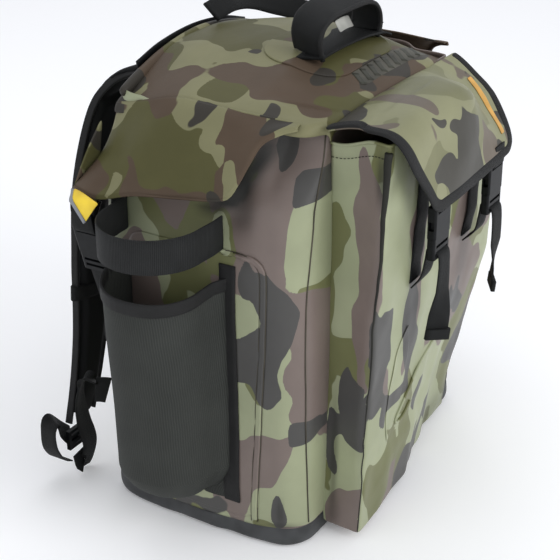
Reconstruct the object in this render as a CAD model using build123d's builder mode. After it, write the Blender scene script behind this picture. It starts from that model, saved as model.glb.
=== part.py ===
"""Roll-top tackle backpack of welded tarpaulin, with a front flap pocket and a rod-tube pocket on each side.

Frame: origin at the bottom centre of the bag, +X to the wearer's right, -Y the front, +Y the back, +Z up.
Pieces on the wearer's left (-X) are drawn; those on the right are their mirror images.
"""

from build123d import *
from math import cos, radians, sin
import os

os.makedirs("parts", exist_ok=True)

# Driving dimensions, mm
body_width = 386.0
body_depth = 246.0
corner_radius = 34.0
boot_height = 24.0
lean_height = 375.0
wall_height = 454.0
wall_top_width = 332.0
tarpaulin = 2.0
gap = 0.4
webbing = 1.6

half_width = body_width / 2
half_depth = body_depth / 2
left_face = -half_width
front_face = -half_depth
back_face = half_depth

# Roof: half width, edge height and crown height of the domed top at each station along Y
roof_stations = [(-119, 160, 458, 460.5), (-45, 164, 462, 491), (25, 160, 465, 495), (70, 157, 459, 493), (105, 151, 455, 487)]
crease = (-166.0, 463.0)
ear_slope = 30.0

# Front pocket
pocket_half_width = 150.0
pocket_floor = 11.0
pocket_top = 449.0
pocket_depth_low = 45.0
pocket_depth_top = 70.0

# Front flap
flap_root_y = -124.5
flap_edge_z = 369.0
flap_outline = [(144, 500), (144, 456), (130, 430), (113, 398), (98, flap_edge_z - 1)]
binding_width = 10.0

# Rod-tube pocket and its retaining strap
tube_x = -229.0
tube_y = 22.0
tube_radius = 53.0
rod_pocket_low = 60.0
rod_pocket_rim = 308.0
strap_low = 328.0
strap_width = 38.0

# Side-release buckles for 25 mm webbing
buckle_width = 36.0
socket_length = 33.0
socket_thickness = 10.0
clip_length = 22.0
clip_thickness = 9.0
channel_half = 14.3
strap_25 = 25.0
flap_buckle_x = -68.0
flap_buckle_y = -207.5
flap_buckle_z = 336.0
ear_buckle_y = 100.0

# Shoulder straps: centre points from the yoke down to the ladder lock, with the width at each
shoulder_stations = [
    (-60, 136, 458, 58),
    (-76, 160, 446, 60),
    (-94, 177, 418, 62),
    (-118, 184, 340, 62),
    (-131, 183, 256, 62),
    (-143, 180, 180, 56),
    (-160, 178, 118, 50),
    (-178, 178, 68, 44),
]
shoulder_thickness = 12.0


def mirrored(piece):
    """The same piece on the wearer's right."""
    with BuildPart() as other:
        mirror(piece.part, about=Plane.YZ)
    return other


def pair(piece):
    """A left piece and its mirror image in one node."""
    with BuildPart() as both:
        add(piece.part)
        mirror(piece.part, about=Plane.YZ)
    return both


def wall_panel(side):
    """One wall of the bag, cut from the rounded shell at the middle of its corners."""
    levels = [
        (boot_height, body_width),
        (110, body_width),
        (lean_height, body_width),
        (wall_height, wall_top_width),
    ]
    with BuildPart() as panel:
        for height, width in levels:
            cx = width / 2 - corner_radius
            cy = half_depth - corner_radius
            reach = 2 * corner_radius
            wedges = {
                "left": [(-cx, -cy), (-cx - reach, -cy - reach), (-cx - reach, cy + reach), (-cx, cy)],
                "right": [(cx, -cy), (cx + reach, -cy - reach), (cx + reach, cy + reach), (cx, cy)],
                "front": [(-cx, -cy), (-cx - reach, -cy - reach), (cx + reach, -cy - reach), (cx, -cy)],
                "back": [(-cx, cy), (-cx - reach, cy + reach), (cx + reach, cy + reach), (cx, cy)],
            }
            with BuildSketch(Plane.XY.offset(height)):
                RectangleRounded(width, body_depth, corner_radius)
                RectangleRounded(
                    width - 2 * tarpaulin,
                    body_depth - 2 * tarpaulin,
                    corner_radius - tarpaulin,
                    mode=Mode.SUBTRACT,
                )
                with BuildLine():
                    Polyline(*wedges[side], close=True)
                make_face(mode=Mode.INTERSECT)
        loft(ruled=True)
    return panel


def roof_height(x, y):
    """Height of the roof's outer surface, between its stations."""
    for (y0, w0, e0, c0), (y1, w1, e1, c1) in zip(roof_stations, roof_stations[1:]):
        if y <= y1:
            share = (y - y0) / (y1 - y0)
            width = w0 + share * (w1 - w0)
            edge = e0 + share * (e1 - e0)
            crown = c0 + share * (c1 - c0)
            return crown - (crown - edge) * (x / width) ** 2
    return roof_stations[-1][3]


def plate(plane, outline, thickness):
    """A flat piece of fabric from its outline, standing on one side of its plane."""
    with BuildPart() as piece:
        with BuildSketch(plane):
            with BuildLine():
                Polyline(*outline, close=True)
            make_face()
        extrude(amount=thickness)
    return piece


def sleeve_outline(radius, inner_x):
    """U-shaped outline round the rod tube, closed along the bag's side."""
    with BuildSketch() as outline:
        with Locations((tube_x, tube_y)):
            Circle(radius)
        with Locations(((tube_x + inner_x) / 2, tube_y)):
            Rectangle(inner_x - tube_x, 2 * radius)
        with Locations((inner_x - 100, tube_y)):
            Rectangle(200, 4 * radius, mode=Mode.INTERSECT)
    return outline.sketch


def band_round_tube(inner, outer, low, height):
    """A band that stands off the bag's side and goes round the rod tube."""
    with BuildPart() as band:
        with BuildSketch(Plane.XY.offset(low)):
            add(sleeve_outline(outer, left_face - 2 * gap))
            add(sleeve_outline(inner, left_face + tarpaulin), mode=Mode.SUBTRACT)
        extrude(amount=height)
    return band


# ---------------------------------------------------------------- bag body
with BuildPart() as base_panel:
    for height, inset in [(0, 2), (boot_height, 0)]:
        with BuildSketch(Plane.XY.offset(height)):
            RectangleRounded(body_width - 2 * inset, body_depth - 2 * inset, corner_radius)
    loft(ruled=True)
    for height, inset in [(3, 4), (boot_height, tarpaulin)]:
        with BuildSketch(Plane.XY.offset(height)):
            RectangleRounded(body_width - 2 * inset, body_depth - 2 * inset, corner_radius - tarpaulin)
    loft(ruled=True, mode=Mode.SUBTRACT)

front_panel = wall_panel("front")
side_panel_left = wall_panel("left")
side_panel_right = wall_panel("right")

collar_crown = 471.5
with BuildPart() as back_panel:
    add(wall_panel("back").part)
    with BuildSketch(Plane.XZ.offset(-back_face)):
        with BuildLine():
            Line((-110, wall_height), (110, wall_height))
            ThreePointArc((110, wall_height), (0, collar_crown), (-110, wall_height))
        make_face()
    extrude(amount=tarpaulin)

with BuildPart() as back_stiffener:
    with BuildSketch(Plane.XZ.offset(-(back_face - tarpaulin - gap))):
        with Locations((0, 222)):
            RectangleRounded(300, 390, 20)
    extrude(amount=tarpaulin)

pad_low = 60.0
pad_top = 425.0
pad_thickness = 12.0
with BuildPart() as back_pad:
    with BuildSketch(Plane.XZ.offset(-(back_face + gap + pad_thickness))):
        with Locations((0, (pad_low + pad_top) / 2)):
            RectangleRounded(240, pad_top - pad_low, 30)
    extrude(amount=pad_thickness)
    fillet(back_pad.faces().sort_by(Axis.Y)[-1].edges(), 5)

with BuildPart() as shoulder_yoke:
    with BuildSketch(Plane.XZ.offset(-(back_face + gap + webbing))):
        with Locations((0, 442)):
            RectangleRounded(190, 30, 6)
    extrude(amount=webbing)

patch_thickness = 0.7
with BuildPart() as side_patch:
    with BuildSketch(Plane.YZ.offset(left_face - patch_thickness)):
        with Locations((1, 179)):
            RectangleRounded(160, 300, 18)
    extrude(amount=patch_thickness)
side_patches = pair(side_patch)

# ---------------------------------------------------------------- rod-tube pockets
mesh_thickness = 1.6
toe_height = 24.0
toe_inset = 20.0
with BuildPart() as rod_pocket_left:
    for floor, radius, inner_x, mode in (
        (rod_pocket_low, tube_radius + mesh_thickness, left_face - 2 * gap, Mode.ADD),
        (rod_pocket_low + mesh_thickness, tube_radius, left_face + tarpaulin, Mode.SUBTRACT),
    ):
        for height, inset in ((floor, toe_inset), (rod_pocket_low + toe_height, 0)):
            with BuildSketch(Plane.XY.offset(height)):
                add(sleeve_outline(radius - inset, inner_x))
        loft(ruled=True, mode=mode)
        with BuildSketch(Plane.XY.offset(rod_pocket_low + toe_height)):
            add(sleeve_outline(radius, inner_x))
        extrude(amount=rod_pocket_rim - rod_pocket_low - toe_height, mode=mode)
rod_pocket_right = mirrored(rod_pocket_left)

rim_height = 12.0
tape_width = 18.0
tape_low = 48.0
tape_top = 314.0
rim_radius = tube_radius + mesh_thickness
with BuildPart() as pocket_binding_left:
    with BuildSketch(Plane.XY.offset(rod_pocket_rim - rim_height)):
        add(sleeve_outline(rim_radius + 1.2, left_face - 2 * gap))
        add(sleeve_outline(rim_radius, left_face + tarpaulin), mode=Mode.SUBTRACT)
    extrude(amount=rim_height + 1)
    with BuildSketch(Plane.YZ.offset(left_face - 2 * gap - webbing)):
        with Locations((tube_y - rim_radius - tape_width / 2, (tape_low + tape_top) / 2)):
            Rectangle(tape_width, tape_top - tape_low)
    extrude(amount=webbing)
pocket_binding_right = mirrored(pocket_binding_left)

strap_radius = tube_radius + webbing
with BuildPart() as tube_strap_left:
    add(band_round_tube(tube_radius, strap_radius, strap_low, strap_width).part)
    with BuildSketch(Plane.YZ.offset(left_face - 2 * gap - webbing)):
        with Locations((tube_y + strap_radius + 8, strap_low + strap_width / 2)):
            Rectangle(16, strap_width)
    extrude(amount=webbing)
tube_strap_right = mirrored(tube_strap_left)

# ---------------------------------------------------------------- front pocket
mouth_y = front_face - pocket_depth_top
toe_y = front_face - pocket_depth_low
pocket_back_y = front_face - gap
pocket_slope = (mouth_y - toe_y) / (pocket_top - pocket_floor)


def pocket_face_y(height):
    """Outer surface of the sloping pocket front."""
    return toe_y - tarpaulin + pocket_slope * (height - pocket_floor)


with BuildPart() as pocket_gusset:
    with BuildSketch(Plane.YZ):
        with BuildLine():
            Polyline(
                (pocket_back_y, pocket_floor),
                (toe_y, pocket_floor),
                (mouth_y, pocket_top),
                (pocket_back_y, pocket_top),
                close=True,
            )
        make_face()
    extrude(amount=pocket_half_width, both=True)
    with BuildSketch(Plane.YZ):
        with BuildLine():
            Polyline(
                (pocket_back_y + 5, pocket_floor + tarpaulin),
                (toe_y - 30, pocket_floor + tarpaulin),
                (mouth_y - 30, pocket_top + 5),
                (pocket_back_y + 5, pocket_top + 5),
                close=True,
            )
        make_face()
    extrude(amount=pocket_half_width - tarpaulin, both=True, mode=Mode.SUBTRACT)

pocket_front = plate(
    Plane.YZ.offset(-pocket_half_width),
    [
        (toe_y, pocket_floor),
        (toe_y - tarpaulin, pocket_floor),
        (mouth_y - tarpaulin, pocket_top),
        (mouth_y, pocket_top),
    ],
    2 * pocket_half_width,
)

hem_height = 4.0
with BuildPart() as pocket_hem:
    with BuildSketch(Plane.XY.offset(pocket_top)):
        with Locations((0, (pocket_back_y + mouth_y - tarpaulin - 1) / 2)):
            Rectangle(2 * pocket_half_width + 2, pocket_back_y - mouth_y + tarpaulin + 1)
            Rectangle(
                2 * pocket_half_width - 6,
                pocket_back_y - mouth_y + tarpaulin - 7,
                mode=Mode.SUBTRACT,
            )
    extrude(amount=hem_height)

with BuildPart() as pocket_patch:
    with BuildSketch(Plane.XZ):
        with Locations((-85, 165)):
            Ellipse(58, 26, rotation=62)
    extrude(amount=300)
    with BuildSketch(Plane.YZ):
        with BuildLine():
            Polyline(
                (pocket_face_y(80) - gap, 80),
                (pocket_face_y(80) - gap - 1, 80),
                (pocket_face_y(250) - gap - 1, 250),
                (pocket_face_y(250) - gap, 250),
                close=True,
            )
        make_face()
    extrude(amount=pocket_half_width, both=True, mode=Mode.INTERSECT)

anchor_low = 281.0
anchor_top = 400.0
anchor_left = plate(
    Plane.YZ.offset(flap_buckle_x - strap_25 / 2),
    [
        (pocket_face_y(anchor_low) - gap, anchor_low),
        (pocket_face_y(anchor_low) - gap - webbing, anchor_low),
        (pocket_face_y(anchor_top) - gap - webbing, anchor_top),
        (pocket_face_y(anchor_top) - gap, anchor_top),
    ],
    strap_25,
)
anchor_straps = pair(anchor_left)

# ---------------------------------------------------------------- roof, ears and mouth
with BuildPart() as top_panel:
    for station, width, edge, crown in roof_stations:
        with BuildSketch(Plane.XZ.offset(-station)):
            with BuildLine():
                ThreePointArc((-width, edge), (0, crown), (width, edge))
                Line((width, edge), (width, edge - tarpaulin))
                ThreePointArc((width, edge - tarpaulin), (0, crown - tarpaulin), (-width, edge - tarpaulin))
                Line((-width, edge - tarpaulin), (-width, edge))
            make_face()
    loft(ruled=True)

ear_plane = Plane(
    origin=(crease[0], 0, crease[1]),
    x_dir=(0, 1, 0),
    z_dir=(-cos(radians(ear_slope)), 0, sin(radians(ear_slope))),
)
ear_outline = [(-96, 4), (-50, 80), (78, 96), (86, 134), (114, 136), (123, 92), (107, 8), (70, 4)]
ear_left = plate(ear_plane, ear_outline, tarpaulin)
ear_right = mirrored(ear_left)

lining_outline = [(88, 60), (92, 126), (108, 128), (127, 94), (118, 60)]
lining_left = plate(ear_plane.offset(-gap - 1), lining_outline, 1)
mouth_lining = pair(lining_left)



def arched_strip(station, depth, half_span, low, high):
    """A strip of some depth along Y whose lower and upper edges are arches, each given by its end and crown heights."""
    with BuildPart() as strip:
        with BuildSketch(Plane.XZ.offset(-station)):
            with BuildLine():
                ThreePointArc((-half_span, low[0]), (0, low[1]), (half_span, low[0]))
                Line((half_span, low[0]), (half_span, high[0]))
                ThreePointArc((half_span, high[0]), (0, high[1]), (-half_span, high[0]))
                Line((-half_span, high[0]), (-half_span, low[0]))
            make_face()
        extrude(amount=depth)
    return strip


roll_back_y = 123.0
mouth_roll = arched_strip(roll_back_y, 15, 112, (457, 473.5), (469, 491))
mouth_stiffener = arched_strip(roll_back_y + gap + 2.5, 2.5, 104, (460, 474), (472, 489))

# ---------------------------------------------------------------- handle
handle_y = -50.0
handle_half_depth = 19.0
base_half = 78.0
with BuildPart() as handle_base:
    for station in (handle_y - 25, -45, handle_y + 24):
        lift = 0.6
        with BuildSketch(Plane.XZ.offset(-station)):
            with BuildLine():
                ThreePointArc(
                    (-base_half, roof_height(base_half, station) + lift),
                    (0, roof_height(0, station) + lift),
                    (base_half, roof_height(base_half, station) + lift),
                )
                Line(
                    (base_half, roof_height(base_half, station) + lift),
                    (base_half, roof_height(base_half, station) + lift + webbing),
                )
                ThreePointArc(
                    (base_half, roof_height(base_half, station) + lift + webbing),
                    (0, roof_height(0, station) + lift + webbing),
                    (-base_half, roof_height(base_half, station) + lift + webbing),
                )
                Line(
                    (-base_half, roof_height(base_half, station) + lift + webbing),
                    (-base_half, roof_height(base_half, station) + lift),
                )
            make_face()
    loft(ruled=True)

handle_foot_z = 501.0
handle_top_z = 531.0
handle_half_span = 64.0
handle_thickness = 5.0
with BuildPart() as handle_band:
    with BuildSketch(Plane.XZ.offset(-handle_y)):
        with BuildLine():
            outer_arch = FilletPolyline(
                (-handle_half_span, handle_foot_z),
                (-handle_half_span + 4, handle_top_z),
                (handle_half_span - 4, handle_top_z),
                (handle_half_span, handle_foot_z),
                radius=24,
            )
            offset(outer_arch, amount=handle_thickness, side=Side.RIGHT, closed=True)
        make_face()
    extrude(amount=handle_half_depth, both=True)

with BuildPart() as care_tag:
    with BuildSketch(Plane.XY.offset(493.6)):
        with Locations((0, handle_y + 1)):
            Rectangle(30, 13)
    extrude(amount=0.8)

# ---------------------------------------------------------------- flap
flap_profile = [(flap_root_y, 459.5), (-150, 467), (-191, 466), (-205, 451), (-213, 415), (-219, flap_edge_z)]
flap_thickness = 3.0


def flap_sheet(thickness, inset):
    """The flap's side profile drawn across the bag and cut to its outline; inset trims the sides and bottom edge."""
    inner = [
        (flap_root_y, 459.5 - thickness),
        (-150, 467 - thickness),
        (-189.8, 466 - thickness),
        (-205 + thickness, 449.8),
        (-213 + thickness, 415),
        (-219 + thickness, flap_edge_z),
    ]
    half = [(x - inset, z) for x, z in flap_outline]
    with BuildPart() as sheet:
        with BuildSketch(Plane.YZ):
            with BuildLine():
                Polyline(*flap_profile, *reversed(inner), close=True)
            make_face()
        extrude(amount=150, both=True)
        with BuildSketch(Plane.XZ.offset(100)):
            with BuildLine():
                Polyline(*half, *[(-x, z) for x, z in reversed(half)], close=True)
            make_face()
        extrude(amount=150, mode=Mode.INTERSECT)
        if inset:
            with BuildSketch(Plane.XY.offset(300)):
                with Locations((0, -175)):
                    Rectangle(400, 200)
            extrude(amount=flap_edge_z + inset - 300, mode=Mode.SUBTRACT)
    return sheet


flap_panel = flap_sheet(flap_thickness, binding_width)
with BuildPart() as flap_binding:
    add(flap_sheet(flap_thickness + 0.6, 0).part)
    add(flap_sheet(flap_thickness + 1, binding_width).part, mode=Mode.SUBTRACT)

stripe_plane = Plane(origin=(96, -170, 467.1), x_dir=(1, 0, 0), z_dir=(0, 0, 1))
with BuildPart() as flap_stripe:
    with BuildSketch(stripe_plane):
        Rectangle(7, 30)
    extrude(amount=0.6)


# ---------------------------------------------------------------- buckles
def buckle_socket(plane):
    """Hollow half of a side-release buckle; its mouth is at the plane's origin and it lies along +Y."""
    with BuildPart(plane) as socket:
        Box(buckle_width, socket_length, socket_thickness, align=(Align.CENTER, Align.MIN, Align.CENTER))
        fillet(socket.edges().filter_by(Axis(plane.origin, plane.y_dir)), 2.5)
        Box(
            2 * channel_half,
            23,
            5.6,
            align=(Align.CENTER, Align.MIN, Align.CENTER),
            mode=Mode.SUBTRACT,
        )
        with Locations((0, 13.5, 0)):
            Box(2 * buckle_width, 9, 5.6, mode=Mode.SUBTRACT)
        with Locations((0, 27.6, 0)):
            Box(strap_25 + 2, 3.2, 2 * socket_thickness, mode=Mode.SUBTRACT)
    return socket


def buckle_clip(plane):
    """Plug half of the buckle: a two-slot bar and the guide between its prongs."""
    with BuildPart(plane) as clip:
        with Locations((0, -gap, 0)):
            Box(buckle_width, clip_length, clip_thickness, align=(Align.CENTER, Align.MAX, Align.CENTER))
        fillet(clip.edges().filter_by(Axis(plane.origin, plane.y_dir)), 2.5)
        for slot in (-9, -16):
            with Locations((0, slot, 0)):
                Box(strap_25 + 2, 3.2, 2 * clip_thickness, mode=Mode.SUBTRACT)
        with Locations((0, -1, 0)):
            Box(5, 21, 4, align=(Align.CENTER, Align.MIN, Align.CENTER))
    return clip


def buckle_prong(plane, side):
    """One springy prong of the plug, with the shoulder that shows in the socket's window."""
    with BuildPart(plane) as prong:
        with Locations((side * 11.7, 0.2, 0)):
            Box(4, 20, 4.6, align=(Align.CENTER, Align.MIN, Align.CENTER))
        with Locations((side * 12.6, 13.5, 0)):
            Box(3, 7, 4.6)
    return prong


flap_plane = Plane(
    origin=(flap_buckle_x, flap_buckle_y, flap_buckle_z), x_dir=(1, 0, 0), z_dir=(0, -1, 0)
)
flap_plane_right = Plane(
    origin=(-flap_buckle_x, flap_buckle_y, flap_buckle_z), x_dir=(1, 0, 0), z_dir=(0, -1, 0)
)
flap_sockets = pair(buckle_socket(flap_plane))
flap_clip_left = buckle_clip(flap_plane)
flap_clip_right = buckle_clip(flap_plane_right)
flap_prong_left_outer = buckle_prong(flap_plane, -1)
flap_prong_left_inner = buckle_prong(flap_plane, 1)
flap_prong_right_outer = buckle_prong(flap_plane_right, 1)
flap_prong_right_inner = buckle_prong(flap_plane_right, -1)

with BuildPart() as flap_tab:
    with BuildSketch(Plane.YZ.offset(flap_buckle_x - strap_25 / 2)):
        with Locations((flap_buckle_y - 5.8, 370)):
            Rectangle(1.4, 16)
        with Locations((flap_buckle_y - 0.9, 363.6)):
            Rectangle(12, 1.8)
    extrude(amount=strap_25)
flap_tabs = pair(flap_tab)

with BuildPart() as flap_tail_left:
    with BuildSketch(Plane.YZ.offset(flap_buckle_x - strap_25 / 2)):
        with Locations((flap_buckle_y - 6, 274)):
            Rectangle(webbing, 94)
        with Locations((flap_buckle_y, 320)):
            Rectangle(13, 1.8)
        with Locations((flap_buckle_y + 6.4, 294)):
            Rectangle(webbing, 53)
    extrude(amount=strap_25)
flap_tail_right = mirrored(flap_tail_left)

# The ear buckles lie on the line from the ear's tip down to their strap on the bag's side
pull_angle = 15.8
pull_up = Vector(-sin(radians(pull_angle)), 0, cos(radians(pull_angle)))
ear_tip = Vector(-234, ear_buckle_y, 345)
ear_mouth = ear_tip - pull_up * 38
ear_buckle_plane = Plane(
    origin=ear_mouth,
    x_dir=(0, -1, 0),
    z_dir=(-cos(radians(pull_angle)), 0, -sin(radians(pull_angle))),
)
ear_sockets = pair(buckle_socket(ear_buckle_plane))
ear_clip_left = buckle_clip(ear_buckle_plane)
ear_clip_right = mirrored(ear_clip_left)
ear_prong_left_front = buckle_prong(ear_buckle_plane, 1)
ear_prong_left_back = buckle_prong(ear_buckle_plane, -1)
ear_prong_right_front = mirrored(ear_prong_left_front)
ear_prong_right_back = mirrored(ear_prong_left_back)

with BuildPart(ear_buckle_plane) as ear_tab:
    with Locations((0, 39, 6)):
        Box(strap_25, 26, 1.4)
    with Locations((0, 27.6, 0.4)):
        Box(strap_25, 1.8, 12.4)
ear_tabs = pair(ear_tab)

strap_upper = ear_mouth - pull_up * 56
strap_foot_z = 208.0
closure_strap = plate(
    Plane.XZ.offset(-ear_buckle_y - strap_25 / 2),
    [
        (strap_upper.X, strap_upper.Z),
        (strap_upper.X - webbing, strap_upper.Z),
        (left_face - 1.2 - webbing, strap_foot_z),
        (left_face - 1.2 - webbing, 180),
        (left_face - 1.2, 180),
        (left_face - 1.2, strap_foot_z),
    ],
    strap_25,
)
closure_straps = pair(closure_strap)

# ---------------------------------------------------------------- shoulder straps
points = [Vector(x, y, z) for x, y, z, width in shoulder_stations]
with BuildPart() as shoulder_strap_left:
    for index, (x, y, z, width) in enumerate(shoulder_stations):
        before = points[max(index - 1, 0)]
        after = points[min(index + 1, len(points) - 1)]
        run = after - before
        with BuildSketch(Plane(origin=(x, y, z), x_dir=(1, 0, 0), z_dir=(0, run.Y, run.Z))):
            RectangleRounded(width, shoulder_thickness, 4)
    loft(ruled=True)
shoulder_strap_right = mirrored(shoulder_strap_left)

lock_x = -186.0
lock_y = 177.0
lock_z = 46.0
with BuildPart(Plane(origin=(lock_x, lock_y, lock_z), x_dir=(1, 0, 0), z_dir=(0, 1, 0))) as ladder_lock_left:
    Box(34, 24, 5)
    for slot in (-6.5, 0.5, 7.5):
        with Locations((0, slot, 0)):
            Box(strap_25 + 2, 3, 10, mode=Mode.SUBTRACT)
ladder_lock_right = mirrored(ladder_lock_left)

with BuildPart() as strap_tail_left:
    with BuildSketch(Plane.YZ.offset(lock_x - strap_25 / 2)):
        with Locations((lock_y + 4, lock_z - 19)):
            Rectangle(webbing, 42)
        with Locations((lock_y, lock_z - 0.5)):
            Rectangle(9, 1.6)
    extrude(amount=strap_25)
strap_tail_right = mirrored(strap_tail_left)

corner_x = -half_width + corner_radius * (1 - cos(radians(45)))
corner_y = half_depth - corner_radius * (1 - cos(radians(45)))
tab_plane = Plane(origin=(corner_x - 0.4, corner_y + 0.4, 124), x_dir=(-1, 1, 0), z_dir=(1, 1, 0))
with BuildPart(tab_plane) as corner_tab:
    Box(22, 32, webbing, align=(Align.MIN, Align.CENTER, Align.CENTER))
corner_tabs = pair(corner_tab)

webbing_stations = [(-200, 131, 124, 1, 1), (-201, 147, 104, 1, 0.6), (-193, 163, 66, 1, 0), (-187, 170, 30, 1, 0)]
with BuildPart() as lower_webbing:
    for index, (x, y, z, across_x, across_y) in enumerate(webbing_stations):
        before = Vector(*webbing_stations[max(index - 1, 0)][:3])
        after = Vector(*webbing_stations[min(index + 1, len(webbing_stations) - 1)][:3])
        with BuildSketch(
            Plane(origin=(x, y, z), x_dir=(across_x, across_y, 0), z_dir=(after - before).normalized())
        ):
            Rectangle(strap_25, webbing)
    loft(ruled=True)
lower_webbings = pair(lower_webbing)

# ---------------------------------------------------------------- output
pieces = {
    "base_panel": base_panel,
    "front_panel": front_panel,
    "back_panel": back_panel,
    "side_panel_left": side_panel_left,
    "side_panel_right": side_panel_right,
    "back_stiffener": back_stiffener,
    "back_pad": back_pad,
    "shoulder_yoke": shoulder_yoke,
    "side_patches": side_patches,
    "rod_pocket_left": rod_pocket_left,
    "rod_pocket_right": rod_pocket_right,
    "pocket_binding_left": pocket_binding_left,
    "pocket_binding_right": pocket_binding_right,
    "tube_strap_left": tube_strap_left,
    "tube_strap_right": tube_strap_right,
    "pocket_gusset": pocket_gusset,
    "pocket_front": pocket_front,
    "pocket_hem": pocket_hem,
    "pocket_patch": pocket_patch,
    "anchor_straps": anchor_straps,
    "top_panel": top_panel,
    "ear_left": ear_left,
    "ear_right": ear_right,
    "mouth_lining": mouth_lining,
    "mouth_roll": mouth_roll,
    "mouth_stiffener": mouth_stiffener,
    "handle_base": handle_base,
    "handle_band": handle_band,
    "care_tag": care_tag,
    "flap_panel": flap_panel,
    "flap_binding": flap_binding,
    "flap_stripe": flap_stripe,
    "flap_tabs": flap_tabs,
    "flap_sockets": flap_sockets,
    "flap_clip_left": flap_clip_left,
    "flap_clip_right": flap_clip_right,
    "flap_prong_left_outer": flap_prong_left_outer,
    "flap_prong_left_inner": flap_prong_left_inner,
    "flap_prong_right_outer": flap_prong_right_outer,
    "flap_prong_right_inner": flap_prong_right_inner,
    "flap_tail_left": flap_tail_left,
    "flap_tail_right": flap_tail_right,
    "ear_tabs": ear_tabs,
    "ear_sockets": ear_sockets,
    "ear_clip_left": ear_clip_left,
    "ear_clip_right": ear_clip_right,
    "ear_prong_left_front": ear_prong_left_front,
    "ear_prong_left_back": ear_prong_left_back,
    "ear_prong_right_front": ear_prong_right_front,
    "ear_prong_right_back": ear_prong_right_back,
    "closure_straps": closure_straps,
    "shoulder_strap_left": shoulder_strap_left,
    "shoulder_strap_right": shoulder_strap_right,
    "ladder_lock_left": ladder_lock_left,
    "ladder_lock_right": ladder_lock_right,
    "strap_tail_left": strap_tail_left,
    "strap_tail_right": strap_tail_right,
    "corner_tabs": corner_tabs,
    "lower_webbings": lower_webbings,
}
for name, piece in pieces.items():
    piece.part.label = name
    export_step(piece.part, f"parts/{name}.step")
    print(name, round(piece.part.volume))
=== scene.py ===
"""Looks of a roll-top tackle backpack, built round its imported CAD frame.

Shapes are worked out in millimetres in the row frame and turned into metres when a mesh is made.
"""

from math import cos, exp, pi, radians, sin, sqrt

import bmesh
import bpy
from mathutils import Matrix, Vector, noise


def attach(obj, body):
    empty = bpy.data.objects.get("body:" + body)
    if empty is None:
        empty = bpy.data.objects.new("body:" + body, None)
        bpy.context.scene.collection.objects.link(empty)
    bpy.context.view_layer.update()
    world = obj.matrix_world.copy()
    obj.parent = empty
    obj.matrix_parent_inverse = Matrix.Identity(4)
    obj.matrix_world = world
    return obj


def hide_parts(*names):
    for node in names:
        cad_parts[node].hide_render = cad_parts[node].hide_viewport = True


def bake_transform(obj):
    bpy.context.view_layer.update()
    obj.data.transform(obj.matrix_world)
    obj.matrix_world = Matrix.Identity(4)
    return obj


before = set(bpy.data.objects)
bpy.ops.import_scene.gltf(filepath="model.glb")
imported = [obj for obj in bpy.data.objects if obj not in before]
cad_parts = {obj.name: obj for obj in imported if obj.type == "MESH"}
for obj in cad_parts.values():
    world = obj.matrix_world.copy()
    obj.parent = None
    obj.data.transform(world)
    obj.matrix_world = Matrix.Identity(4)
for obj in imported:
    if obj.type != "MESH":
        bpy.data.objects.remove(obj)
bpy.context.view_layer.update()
MM = 0.001


# ---------------------------------------------------------------- numbers and lines
def ease(t):
    t = min(max(t, 0.0), 1.0)
    return t * t * (3 - 2 * t)


def look_up(x, pairs):
    """Value at x of a table of (x, value), straight between its entries."""
    if x <= pairs[0][0]:
        return pairs[0][1]
    for (x0, v0), (x1, v1) in zip(pairs, pairs[1:]):
        if x <= x1:
            return v0 + (v1 - v0) * (x - x0) / (x1 - x0)
    return pairs[-1][1]


def spread(low, high, count):
    return [low + (high - low) * i / (count - 1) for i in range(count)]


def evenly(points, count):
    """The same line with evenly spaced points."""
    reach = [0.0]
    for a, b in zip(points, points[1:]):
        reach.append(reach[-1] + (b - a).length)
    out, k = [], 0
    for i in range(count):
        want = reach[-1] * i / (count - 1)
        while k < len(points) - 2 and reach[k + 1] < want:
            k += 1
        span = max(reach[k + 1] - reach[k], 1e-9)
        out.append(points[k].lerp(points[k + 1], min(max((want - reach[k]) / span, 0), 1)))
    return out


def curve(points, count):
    """A smooth line through the given points."""
    points = [Vector(p) for p in points]
    ends = [2 * points[0] - points[1], *points, 2 * points[-1] - points[-2]]
    dense = []
    for a, b, c, d in zip(ends, ends[1:], ends[2:], ends[3:]):
        for k in range(14):
            t = k / 14
            dense.append(
                0.5 * (2 * b + (c - a) * t + (2 * a - 5 * b + 4 * c - d) * t**2 + (3 * b - a - 3 * c + d) * t**3)
            )
    dense.append(points[-1])
    return evenly(dense, count)


def bezier(a, b, c, d, t):
    s = 1 - t
    return a * s**3 + b * 3 * s * s * t + c * 3 * s * t * t + d * t**3


def crumple(x, y, z, size, seed=0.0):
    """Smooth noise from about -1 to 1, with features about size mm across."""
    return 2 * noise.noise(Vector((x / size + seed, y / size - seed, z / size + 3 * seed)))


def bump_at(value, centre, width):
    return exp(-(((value - centre) / width) ** 2))


# ---------------------------------------------------------------- meshes
def add(name, data):
    obj = bpy.data.objects.new(name, data)
    bpy.context.scene.collection.objects.link(obj)
    return obj


def mesh_object(name, points, faces, corners, finish):
    mesh = bpy.data.meshes.new(name)
    mesh.from_pydata([Vector(p) * MM for p in points], [], faces)
    layer = mesh.uv_layers.new(name="cloth")
    for loop, uv in zip(layer.data, [c for face in corners for c in face]):
        loop.uv = uv
    mesh.materials.append(finish)
    mesh.shade_smooth()
    return add(name, mesh)


def settle(obj, outward=False):
    """Leaves the object as a plain mesh, with its modifiers applied."""
    graph = bpy.context.evaluated_depsgraph_get()
    shown = obj.evaluated_get(graph)
    mesh = bpy.data.meshes.new_from_object(shown, preserve_all_data_layers=True, depsgraph=graph)
    obj.modifiers.clear()
    obj.data = mesh
    if outward:
        work = bmesh.new()
        work.from_mesh(mesh)
        bmesh.ops.recalc_face_normals(work, faces=work.faces)
        work.to_mesh(mesh)
        work.free()
    return obj


def subdivide(obj, level=1):
    smoother = obj.modifiers.new("smooth", "SUBSURF")
    smoother.levels = smoother.render_levels = level


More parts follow.
